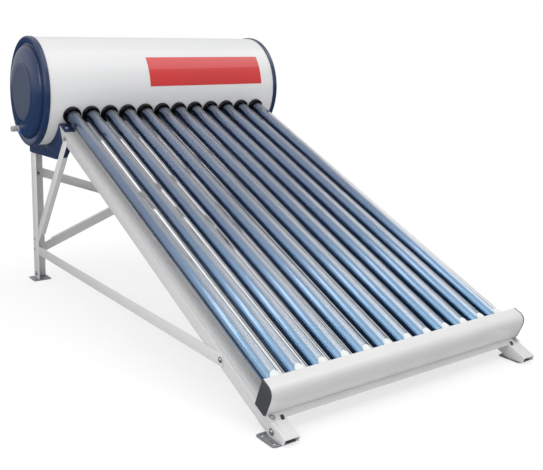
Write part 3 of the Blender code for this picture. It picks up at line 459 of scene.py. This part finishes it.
# Sputtered nitride: a blue metallic film, greyer near the tank and bluer on the flanks and towards
# the foot.  Along each tube's crown the blue is greyed: a painted reflection of the bright room.
absorber, tree, shader = new_material("sputtered aluminium nitride absorber",
                                      {"Metallic": 1.0})
place = add_node(tree, "ShaderNodeTexCoord", {}).outputs["Object"]
parts = add_node(tree, "ShaderNodeSeparateXYZ", {}, [("Vector", place)])
along = add_node(tree, "ShaderNodeMapRange", {"From Min": 0.08, "From Max": 0.62,
                                              "To Min": 0.0, "To Max": 1.0},
                 [("Value", parts.outputs["Z"])])
tones = []
for ends in ((("8FB6D8", 0.10), ("6E84A7", 0.75)), (("A9ABB0", 0.60), ("979BA3", 1.00))):
    ramp = add_node(tree, "ShaderNodeValToRGB", {}, [("Fac", along.outputs["Result"])])
    for stop, (colour, at) in zip(ramp.color_ramp.elements, ends):
        stop.position = at
        stop.color = from_hex(colour)
    tones.append(ramp.outputs["Color"])
flank, sheen_crown = tones
# The crowns repeat at the tubes' pitch; whole pitches are added to keep the sum positive.
from_first = add_node(tree, "ShaderNodeMath",
                      {"operation": "ADD", 1: -TUBE_XS[0] + 20.0 * TUBE_PITCH},
                      [(0, parts.outputs["X"])])
off_crown = add_node(tree, "ShaderNodeMath", {"operation": "PINGPONG", 1: TUBE_PITCH / 2.0},
                     [(0, from_first.outputs["Value"])])
# The grey along each crown is a painted reflection; this mask fades it out towards the blue flanks.
beyond_sheen = add_node(tree, "ShaderNodeMapRange", {"From Min": 0.002, "From Max": 0.0105,
                                             "To Min": 0.0, "To Max": 1.0},
                [("Value", off_crown.outputs["Value"])])
coating = add_node(tree, "ShaderNodeMix", {"data_type": "RGBA"},
                   [(0, beyond_sheen.outputs["Result"]), (6, sheen_crown), (7, flank)])
cloud = add_node(tree, "ShaderNodeTexNoise", {"Scale": 1000.0 / 60.0, "Detail": 3.0},
                 [("Vector", place)])
haze = add_node(tree, "ShaderNodeMapRange", {"To Min": 0.18, "To Max": 0.24},
                [("Value", cloud.outputs["Fac"])])
tree.links.new(coating.outputs[2], shader.inputs["Base Color"])
tree.links.new(haze.outputs["Result"], shader.inputs["Roughness"])


def span(node, direction):
    """Lowest and highest place of a frame node along a direction, from the tank's axis."""
    reach = [(v.co - TANK).dot(direction) for v in frame["nodes"][node].data.vertices]
    return min(reach), max(reach)


def copy_of(piece, shift):
    """A copy with its own mesh, moved by shift."""
    twin = piece.copy()
    twin.data = piece.data.copy()
    bpy.context.scene.collection.objects.link(twin)
    twin.matrix_world = Matrix.Translation(shift) @ piece.matrix_world
    return twin


def flask(radius, low, high, wall):
    """Rings of a round-ended glass: outside from the tail up, then inside back down."""
    bore = radius - wall
    outside = [(radius * math.sin(turn), low + radius - radius * math.cos(turn))
               for turn in map(math.radians, (6, 18, 30, 42, 54, 66, 78, 90))]
    inside = [(bore * math.sin(turn), low + radius - bore * math.cos(turn))
              for turn in map(math.radians, (90, 74, 58, 42, 26, 10))]
    return outside + [(radius, high), (bore, high)] + inside


tube_low, tube_high = span("vacuum_tube_01", DOWN)
length = tube_high - tube_low
tail = axes(ACROSS, -ABOVE, on_slope(tube_high, 0.0, TUBE_XS[0]))
outer_glass = turned(flask(GLASS_RADIUS, 0.0, length - 0.002, GLASS_WALL), TUBE_SIDES, tail)
inner_glass = turned(flask(ABSORBER_RADIUS, TAIL_GAP, length, ABSORBER_WALL), TUBE_SIDES, tail)
for index, x in enumerate(TUBE_XS):
    number = "%02d" % (index + 1)
    shift = ACROSS * (x - TUBE_XS[0])
    finish_piece(copy_of(outer_glass, shift), "outer_glass_" + number, glass,
                 body="tube_" + number, nodes=["vacuum_tube_" + number])
    finish_piece(copy_of(inner_glass, shift), "absorber_glass_" + number, absorber,
                 body="tube_" + number)
for pattern in (outer_glass, inner_glass):
    bpy.data.objects.remove(pattern, do_unlink=True)

# ---- dust rings ------------------------------------------------------------------------------
# Black EPDM grommets, moulded with a neck that fills the shell's hole and a rounded lip
# outside.  Each is pushed over its tube and seated on the shell, and the tube slides in it.

# Moulded EPDM: nearly black with a tight, wet-looking gloss.
rubber, tree, shader = new_material("moulded EPDM rubber", {"IOR": 1.52,
                                                           "Specular IOR Level": 0.35})
surface_detail(tree, shader, "060607", "0C0C0E", 12.0, 0.7, 0.02, (0.16, 0.24))
ring_low, ring_high = span("dust_ring_01", DOWN)
ring_radius = (span("dust_ring_01", ACROSS)[1] - span("dust_ring_01", ACROSS)[0]) / 2.0
bore = GLASS_RADIUS + 0.0002
neck = HOLE_RADIUS - 0.0003
LIP = 0.0045
rings = [(bore, ring_low), (neck, ring_low), (neck, SHELL_RADIUS - 0.0045),
         (ring_radius - 0.001, SHELL_RADIUS - 0.0045), (ring_radius, SHELL_RADIUS - 0.0030),
         (ring_radius, ring_high - LIP)]
rings += arc((ring_radius - LIP, ring_high - LIP), LIP, 0.0, 90.0, 6)[1:]
rings += [(bore + 0.0022, ring_high - 0.0002), (bore + 0.0004, ring_high - 0.0014)]
first_hole = axes(ACROSS, -ABOVE, on_slope(0.0, 0.0, TUBE_XS[0])) @ Matrix.Rotation(math.pi, 4, "X")
grommet = turned(rings, 56, first_hole, closed=True)
for index, x in enumerate(TUBE_XS):
    number = "%02d" % (index + 1)
    piece = copy_of(grommet, ACROSS * (x - TUBE_XS[0]))
    finish_piece(piece, "rubber_ring_" + number, rubber,
                 nodes=["dust_ring_" + number])
bpy.data.objects.remove(grommet, do_unlink=True)

# ---- tail bar --------------------------------------------------------------------------------
# Extruded aluminium, satin anodised, with a bulged front and a flange bolted to the rails.
# Moulded covers close its ends.

bar_back, bar_end = span("tail_bar", DOWN)
bar_low, bar_top = span("tail_bar", ABOVE)
bar_half = span("tail_bar", ACROSS)[1]
BAR_FLANGE = 0.019
BAR_WALL = 0.0025
COVER_WALL = 0.004
CUP_HOLE_RADIUS = 0.0314
bar_front = bar_end - BAR_FLANGE
# Satin anodising: pale grey, a silky gloss with fine grain.
satin, tree, shader = new_material("satin anodised aluminium", {"Metallic": 0.12})
surface_detail(tree, shader, "DFDFDF", "D7D7D7", 140.0, 0.8, 0.006, (0.30, 0.38))


def bar_section(inset, flange):
    """Section of the bar in (s, n), inset by a wall."""
    back, front = bar_back + inset, bar_front - inset
    low, top = bar_low + inset, bar_top - inset
    line = [(back, low)]
    if flange:
        line += [(bar_end, low), (bar_end, low + BAR_WALL), (front - 0.002, low + BAR_WALL)]
    else:
        line += [(front - 0.004, low)]
    rise = top - low
    bulge = [(0.0, 0.10), (0.0008, 0.35), (0.0020, 0.55), (0.0018, 0.68), (0.0002, 0.79),
             (-0.0034, 0.88), (-0.0092, 0.945), (-0.0160, 0.985), (-0.0230, 1.0)]
    line += [(front + out, low + rise * part) for out, part in bulge]
    line += [(back, top - 0.0005)]
    return line


bar = plate(bar_section(0.0, True), 2.0 * bar_half,
            axes(DOWN, ABOVE, Vector((0.0, TANK.y, TANK.z))), holes=[bar_section(BAR_WALL, False)])
select_only(bar)
bpy.ops.object.transform_apply(location=True, rotation=True, scale=True)
drills = []
for x in TUBE_XS:
    bpy.ops.object.select_all(action="DESELECT")
    bpy.ops.mesh.primitive_cylinder_add(vertices=40, radius=CUP_HOLE_RADIUS, depth=0.02)
    drill = bpy.context.object
    drill.matrix_world = axes(ACROSS, ABOVE, on_slope(bar_back, 0.0, x))
    drills.append(drill)
drill = joined(drills)
cut = bar.modifiers.new("cup holes", "BOOLEAN")
cut.object = drill
apply_modifiers(bar)
bpy.data.objects.remove(drill, do_unlink=True)
finish_piece(bar, "extruded_tail_bar", satin, nodes=["tail_bar"],
             smooth=28.0)

# Moulded ABS: dark grey and matt-grained.
dark_abs, tree, shader = new_material("moulded dark grey ABS", {"IOR": 1.54})
surface_detail(tree, shader, "4A4B4E", "434447", 60.0, 0.8, 0.05, (0.42, 0.52))
for name, side in SIDES:
    first, last = sorted(abs(x) for x in span("tail_bar_cap_" + name, ACROSS))
    cover = plate(bar_section(-0.0008, False), COVER_WALL,
                  axes(DOWN, ABOVE, Vector((side * (last - COVER_WALL / 2.0), TANK.y, TANK.z))))
    ease_edges(cover, 0.0012, 3)
    plug_depth = last - first - COVER_WALL / 2.0
    plug = plate(bar_section(BAR_WALL + 0.0006, False), plug_depth,
                 axes(DOWN, ABOVE, Vector((side * (first + plug_depth / 2.0), TANK.y, TANK.z))))
    cover = joined([cover, plug])
    finish_piece(cover, "moulded_bar_cap_" + name, dark_abs,
                 nodes=["tail_bar_cap_" + name])

# ---- tail cups -------------------------------------------------------------------------------
# One white polypropylene moulding: twelve cups on a web behind the bar's back wall, each
# with a tongue that reaches up over its tube.

# Moulded polypropylene: milky white, a little light passes into it.
white_pp, tree, shader = new_material("moulded white polypropylene", {"IOR": 1.49,
                                                                     "Subsurface Weight": 0.08})
surface_detail(tree, shader, "F2F2F1", "ECECEA", 50.0, 0.8, 0.03, (0.30, 0.40))
cup_low, cup_high = span("tail_cup_strip", DOWN)
mouth = cup_high - cup_low
CUP_OUTER = 0.0311
CUP_INNER = 0.0295
cup_rings = [(0.0300, 0.0), (0.0322, 0.0005), (0.0330, 0.0018), (0.0330, 0.0062),
             (CUP_OUTER, 0.0066), (CUP_OUTER, mouth - 0.016), (0.0220, mouth - 0.001),
             (0.0060, mouth - 0.0004), (0.0060, mouth - 0.0019), (0.0215, mouth - 0.0030),
             (CUP_INNER, mouth - 0.0170), (CUP_INNER, 0.0010)]
TONGUE_REACH = 0.030
TONGUE_ROOT = 0.004
TONGUE_RADIUS = 0.0165
down_slope = axes(ACROSS, ABOVE, on_slope(cup_low, 0.0, TUBE_XS[0]))
cup = turned(cup_rings, 48, down_slope, closed=True)
middle = on_slope(cup_low + TONGUE_ROOT - TONGUE_REACH / 2.0, 0.0, TUBE_XS[0])
tongue = plate(arc((0.0, 0.0), 0.0313, 55.0, 125.0, 16)
               + arc((0.0, 0.0), CUP_INNER, 125.0, 55.0, 16),
               TONGUE_REACH, axes(ACROSS, ABOVE, middle))
select_only(tongue)
bpy.ops.object.transform_apply(location=True, rotation=True, scale=True)
bpy.ops.object.select_all(action="DESELECT")
bpy.ops.mesh.primitive_cylinder_add(vertices=48, radius=TONGUE_RADIUS, depth=0.09)
rounding = bpy.context.object
tongue_end = cup_low + TONGUE_ROOT - TONGUE_REACH
rounding.matrix_world = axes(ACROSS, -DOWN,
                             on_slope(tongue_end + TONGUE_RADIUS, 0.0, TUBE_XS[0]))
round_off = tongue.modifiers.new("round end", "BOOLEAN")
round_off.operation = "INTERSECT"
round_off.object = rounding
apply_modifiers(tongue)
bpy.data.objects.remove(rounding, do_unlink=True)
ease_edges(tongue, 0.0005)
cups = [joined([cup, tongue])]
for x in TUBE_XS[1:]:
    cups.append(copy_of(cups[0], ACROSS * (x - TUBE_XS[0])))
cup_strip = joined(cups)
finish_piece(cup_strip, "moulded_cup_strip", white_pp,
             nodes=["tail_cup_strip"])
web_near, web_far = bar_back + BAR_WALL + 0.0005, bar_back + BAR_WALL + 0.0025
cup_web = plate([(web_near, -0.025), (web_far, -0.025), (web_far, 0.025), (web_near, 0.025)],
                TUBE_XS[-1] - TUBE_XS[0] + 0.06,
                axes(DOWN, ABOVE, Vector((0.0, TANK.y, TANK.z))))
finish_piece(cup_web, "moulded_cup_web", white_pp)

# ---- rails, legs, struts and braces ----------------------------------------------------------
# Roll-formed steel channel and folded steel angle, silver-grey powder coat.  Their shape is
# the frame's own; here every folded and sheared edge is rounded.

# Powder coat on steel: light silver-grey, an even low gloss.
frame_coat, tree, shader = new_material("silver-grey powder-coated steel", {"Metallic": 0.08,
                                                                          "Coat Weight": 0.15})
surface_detail(tree, shader, "E1E0E0", "DCDBDB", 160.0, 1.4, 0.012, (0.36, 0.42))


def eased_copy(node, edge):
    """A closed copy of a frame node with its edges rounded."""
    source = frame["nodes"][node]
    piece = bpy.data.objects.new(node, source.data.copy())
    bpy.context.scene.collection.objects.link(piece)
    mend(piece)
    bpy.ops.object.mode_set(mode="EDIT")
    bpy.ops.mesh.select_all(action="SELECT")
    bpy.ops.mesh.dissolve_limited(angle_limit=math.radians(1.0))
    bpy.ops.object.mode_set(mode="OBJECT")
    ease_edges(piece, edge)
    return piece


for kind, names, edge in (("roll_formed_rail", "front_rail", 0.0003),
                          ("folded_leg", "rear_leg", 0.0008),
                          ("folded_upper_strut", "upper_strut", 0.0007),
                          ("folded_side_brace", "side_brace", 0.0007)):
    for name, _ in SIDES:
        node = names + "_" + name
        finish_piece(eased_copy(node, edge), kind + "_" + name, frame_coat,
                     nodes=[node])
for letter in ("a", "b"):
    node = "cross_brace_" + letter
    finish_piece(eased_copy(node, 0.0007), "folded_cross_brace_" + letter, frame_coat,
                 nodes=[node])

# ---- saddles ---------------------------------------------------------------------------------
# Deep-drawn steel cradles with a dark blue powder coat, each bolted to its rail by an
# ear.  The tank lies in them.

# Powder coat: dark blue, low gloss, faint peel.
blue_coat, tree, shader = new_material("dark blue powder-coated steel", {"Coat Weight": 0.2})
surface_detail(tree, shader, "2F3F62", "28375A", 80.0, 1.2, 0.02, (0.32, 0.42))
for name, _ in SIDES:
    node = "tank_saddle_" + name
    finish_piece(eased_copy(node, 0.0009), "drawn_saddle_" + name, blue_coat,
                 nodes=[node])

# ---- feet ------------------------------------------------------------------------------------
# Steel angles, cut and pressed in one piece and hot-dip galvanised.  Each is bolted to its
# rail or leg and screwed down through the holes in its sole.

# Hot-dip galvanising: grey zinc spangle, matt and a little uneven.
zinc, tree, shader = new_material("hot-dip galvanised steel", {"Metallic": 0.55})
surface_detail(tree, shader, "B4B6B9", "85888C", 14.0, 1.0, 0.03, (0.36, 0.55))
for spot in ("front_left", "front_right", "rear_left", "rear_right"):
    node = "foot_" + spot
    finish_piece(eased_copy(node, 0.0004), "pressed_foot_" + spot, zinc,
                 nodes=[node])

# ---- bolts -----------------------------------------------------------------------------------
# Zinc-plated button-head bolts on washers, with a hexagon socket, and a hexagon nut behind.
# They hold the feet, the bar, the struts, the braces and the saddle ears.

# Bright zinc plate: silver with a cool, slightly cloudy gloss.
bright_zinc, tree, shader = new_material("zinc-plated steel", {"Metallic": 0.8})
surface_detail(tree, shader, "C6C8CA", "AEB1B4", 9.0, 0.7, 0.008, (0.24, 0.36))
BUTTON = [(0.0105, 0.0), (0.0105, 0.0012), (0.0101, 0.0015), (0.0072, 0.0015), (0.0072, 0.0022),
          (0.0066, 0.0038), (0.0052, 0.0051), (0.0036, 0.0058)]
NUT = [(0.0065, 0.0), (0.0075, 0.0006), (0.0075, 0.0056), (0.0065, 0.0062)]
BOLT_END = [(0.0040, 0.0), (0.0040, 0.0090), (0.0034, 0.0096)]


def button_bolt(size):
    """A washer and button head in one, seated at the origin and facing +Z."""
    bolt = turned([(r * size, h * size) for r, h in BUTTON], 28, Matrix.Identity(4))
    bpy.ops.object.select_all(action="DESELECT")
    bpy.ops.mesh.primitive_cylinder_add(vertices=6, radius=0.0030 * size, depth=0.005 * size,
                                        location=(0.0, 0.0, 0.0058 * size))
    key = bpy.context.object
    socket = bolt.modifiers.new("socket", "BOOLEAN")
    socket.object = key
    apply_modifiers(bolt)
    bpy.data.objects.remove(key, do_unlink=True)
    return bolt


def hexagon_nut(size):
    """A chamfered nut with the bolt's end in it, seated at the origin and facing +Z."""
    nut = turned([(r * size, h * size) for r, h in NUT], 6, Matrix.Identity(4))
    end = turned([(r * size, h * size) for r, h in BOLT_END], 20, Matrix.Identity(4))
    return joined([nut, end])


def fasten(name, point, outward, grip, size, nodes=()):
    """Put a bolt at point, its nut a grip behind it."""
    side_way = ABOVE if abs(outward.dot(ABOVE)) < 0.9 else ACROSS
    side_way = (side_way - outward * side_way.dot(outward)).normalized()
    place = axes(side_way, outward.cross(side_way), point)
    head = button_bolt(size)
    head.matrix_world = place
    nut = hexagon_nut(size)
    nut.matrix_world = axes(side_way, -outward.cross(side_way), point - outward * grip)
    finish_piece(joined([head, nut]), name, bright_zinc, nodes=nodes,
                 smooth=30.0)


# Grips are what lies between a bolt's washer and its nut.
FOOT_GRIP = 0.0064
BAR_GRIP = 0.0060
STRUT_GRIP = 0.0062
CROSS_GRIP = 0.0090
SEAT = 0.0003
RAIL_HALF_DEPTH = 0.0225
STRUT_FOOT_INSET = 0.020
rail_face = span("front_rail_right", ACROSS)[1]
strut_face = span("upper_strut_right", ACROSS)[1]
rail_top_n = span("tail_bar", ABOVE)[0] - SEAT
rail_middle_n = rail_top_n - RAIL_HALF_DEPTH
STRUT_TOP_S = SHELL_RADIUS + 0.085
LEG_HOLE_Y = TANK.y + 0.146
EAR_BOLT_S = SHELL_RADIUS + 0.040
EAR_BOLT_X = 0.492
BRACE_BOLT_X = 0.488
BRACE_BOLT_INSET = 0.030
brace_z = sum(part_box("side_brace_right")[end][2] for end in (0, 1)) / 2.0
brace_s = (TANK.z + rail_middle_n * ABOVE.z - brace_z) / -DOWN.z
strut_foot_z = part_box("upper_strut_right")[0][2] + STRUT_FOOT_INSET
for name, side in SIDES:
    outward = ACROSS * side
    for spot, face in (("front", rail_face), ("rear", span("rear_leg_right", ACROSS)[1])):
        node = "foot_bolt_%s_%s" % (spot, name)
        low, high = (Vector(corner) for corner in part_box(node))
        point = (low + high) / 2.0
        point.x = side * (face + SEAT)
        fasten("foot_bolt_and_nut_%s_%s" % (spot, name), point, outward, FOOT_GRIP, 1.0, [node])
    node = "tail_bar_bolt_" + name
    low, high = (Vector(corner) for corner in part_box(node))
    flange_s = bar_end - BAR_FLANGE / 2.0
    point = on_slope(flange_s, bar_low + BAR_WALL + SEAT, (low.x + high.x) / 2.0)
    fasten("bar_bolt_and_nut_" + name, point, ABOVE, BAR_GRIP, 0.85, [node])
    for label, point in (("upper_strut_top", on_slope(STRUT_TOP_S, rail_middle_n)),
                         ("upper_strut_foot", Vector((0.0, LEG_HOLE_Y, strut_foot_z))),
                         ("side_brace_rear", Vector((0.0, LEG_HOLE_Y, brace_z))),
                         ("side_brace_front", on_slope(brace_s, rail_middle_n))):
        point.x = side * (strut_face + SEAT)
        fasten("%s_bolt_%s" % (label, name), point, outward, STRUT_GRIP, 0.9)
    ear_n = rail_top_n + 0.0033
    fasten("saddle_ear_bolt_" + name, on_slope(EAR_BOLT_S, ear_n, side * EAR_BOLT_X), ABOVE,
           STRUT_GRIP, 0.9)
    leg_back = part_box("rear_leg_" + name)[1][1]
    high_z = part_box("cross_brace_a")[1][2] - BRACE_BOLT_INSET
    low_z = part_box("cross_brace_a")[0][2] + BRACE_BOLT_INSET
    for label, z in (("top", high_z), ("foot", low_z)):
        fasten("cross_brace_bolt_%s_%s" % (label, name),
               Vector((side * BRACE_BOLT_X, leg_back + 0.003, z)), Vector((0.0, 1.0, 0.0)),
               CROSS_GRIP, 0.9)

# ---- bar clips -------------------------------------------------------------------------------
# A small black nylon clip beside each bar bolt grips the edge of the bar's flange and keeps
# it from rattling on its rail.

# Moulded nylon: soft black, matt.
nylon, tree, shader = new_material("moulded black nylon", {"IOR": 1.53})
surface_detail(tree, shader, "2A2B2E", "232427", 15.0, 0.8, 0.03, (0.40, 0.50))
CLIP_SECTION = [(-0.006, -0.0032), (0.004, -0.0032), (0.004, -0.0002), (-0.001, -0.0002),
                (-0.001, 0.0030), (-0.009, 0.0048), (-0.009, 0.0030), (-0.0022, 0.0026)]
CLIP_WIDTH = 0.011
CLIP_X = 0.475
for name, side in SIDES:
    clip = plate(CLIP_SECTION, CLIP_WIDTH,
                 axes(DOWN, ABOVE, on_slope(bar_end + 0.0014, bar_low, side * CLIP_X)))
    ease_edges(clip, 0.0003)
    finish_piece(clip, "bar_clip_" + name, nylon)

# ---- studio ----------------------------------------------------------------------------------
# A plain pale floor in a white room: bright overhead, dimmer towards the ground, with one
# long soft box over the left of the tubes and a wide one on the right.

bpy.ops.object.select_all(action="DESELECT")
bpy.ops.mesh.primitive_plane_add(size=80.0, location=(0.0, 0.0, -0.0005))
floor = bpy.context.object
floor.name = "studio_floor"
# Matt paint: an even near-white that partly lights itself, so that shadows stay faint.  A polished
# piece shows a painted reflection of it, darker and bluer, as of a dim room.
FLOOR_OWN_SHARE = 0.62
floor_paint, tree, shader = new_material("pale matt studio floor", {"Specular IOR Level": 0.1})
surface_detail(tree, shader, "FAFAFA", "F7F7F7", 900.0, 4.0, 0.01, (0.75, 0.85))
rays = add_node(tree, "ShaderNodeLightPath", {})
mirrored = add_node(tree, "ShaderNodeMath", {"operation": "MINIMUM", 1: 1.0},
                    [(0, rays.outputs["Glossy Depth"])])
own_light = add_node(tree, "ShaderNodeEmission", {"Color": (1.0, 1.0, 1.0, 1.0), "Strength": 1.07})
direct = add_node(tree, "ShaderNodeMath", {"operation": "MAXIMUM"},
                  [(0, rays.outputs["Is Camera Ray"]), (1, rays.outputs["Is Transmission Ray"])])
faint = add_node(tree, "ShaderNodeMath", {"operation": "MULTIPLY", 1: FLOOR_OWN_SHARE},
                 [(0, direct.outputs["Value"])])
paint = add_node(tree, "ShaderNodeMixShader", {}, [(0, faint.outputs["Value"]),
                                                   (1, shader.outputs["BSDF"]),
                                                   (2, own_light.outputs["Emission"])])
# Painted reflection: a dark blue sheet that polished pieces mirror in place of the floor.
dim_room_reflection = add_node(tree, "ShaderNodeBsdfDiffuse", {"Color": (0.030, 0.048, 0.095, 1.0)})
seen = add_node(tree, "ShaderNodeMixShader", {}, [(0, mirrored.outputs["Value"]),
                                                  (1, paint.outputs["Shader"]),
                                                  (2, dim_room_reflection.outputs["BSDF"])])
tree.links.new(seen.outputs["Shader"], tree.nodes["Material Output"].inputs["Surface"])
floor.data.materials.append(floor_paint)

world = bpy.data.worlds.new("studio")
bpy.context.scene.world = world
world.use_nodes = True
tree = world.node_tree
room = tree.nodes["Background"]
heading = add_node(tree, "ShaderNodeTexCoord", {}).outputs["Generated"]
height = add_node(tree, "ShaderNodeSeparateXYZ", {}, [("Vector", heading)]).outputs["Z"]
rays = add_node(tree, "ShaderNodeLightPath", {})
# The room's brightness from the ground up, as it lights the heater and as it is mirrored.
glows = []
for low, middle, high in ((0.62, 0.74, 0.84), (0.58, 0.66, 0.80)):
    ramp = add_node(tree, "ShaderNodeValToRGB", {}, [("Fac", height)])
    ramp.color_ramp.elements[0].position = 0.0
    ramp.color_ramp.elements[0].color = (low, low, low, 1.0)
    ramp.color_ramp.elements[1].position = 0.80
    ramp.color_ramp.elements[1].color = (high, high, high, 1.0)
    ramp.color_ramp.elements.new(0.30).color = (middle, middle, middle, 1.0)
    glows.append(ramp.outputs["Color"])
mirrored = add_node(tree, "ShaderNodeMath", {"operation": "MINIMUM", 1: 1.0},
                    [(0, rays.outputs["Glossy Depth"])])
lit = add_node(tree, "ShaderNodeMix", {"data_type": "RGBA", 6: (1.0, 1.0, 1.0, 1.0)},
               [(0, rays.outputs["Is Diffuse Ray"]), (7, glows[0])])
tone = add_node(tree, "ShaderNodeMix", {"data_type": "RGBA"},
                [(0, mirrored.outputs["Value"]), (6, lit.outputs[2]), (7, glows[1])])
tree.links.new(tone.outputs[2], room.inputs["Color"])
room.inputs["Strength"].default_value = 1.0

sun = bpy.data.lights.new("soft_sun", "SUN")
sun.energy = 0.55
sun.angle = math.radians(50.0)
holder = bpy.data.objects.new("soft_sun", sun)
holder.rotation_euler = (math.radians(18.0), math.radians(22.0), 0.0)
bpy.context.scene.collection.objects.link(holder)
for name, spot, aim, size, power in (
        ("tube_strip", (-1.9, -0.1, 2.5), (0.0, -0.4, 0.4), (0.28, 1.9), 3.0),
        ("right_box", (3.6, 0.6, 3.2), (0.0, 0.0, 0.5), (2.0, 3.0), 14.0),
        ("left_box", (-3.2, -1.6, 2.4), (-0.3, 0.1, 0.5), (1.6, 1.6), 26.0)):
    lamp = bpy.data.lights.new(name, "AREA")
    lamp.shape = "RECTANGLE"
    lamp.size, lamp.size_y = size
    lamp.energy = power
    holder = bpy.data.objects.new(name, lamp)
    holder.location = spot
    holder.rotation_euler = (Vector(aim) - Vector(spot)).to_track_quat("-Z", "Y").to_euler()
    bpy.context.scene.collection.objects.link(holder)
bpy.context.scene.view_settings.view_transform = "Standard"
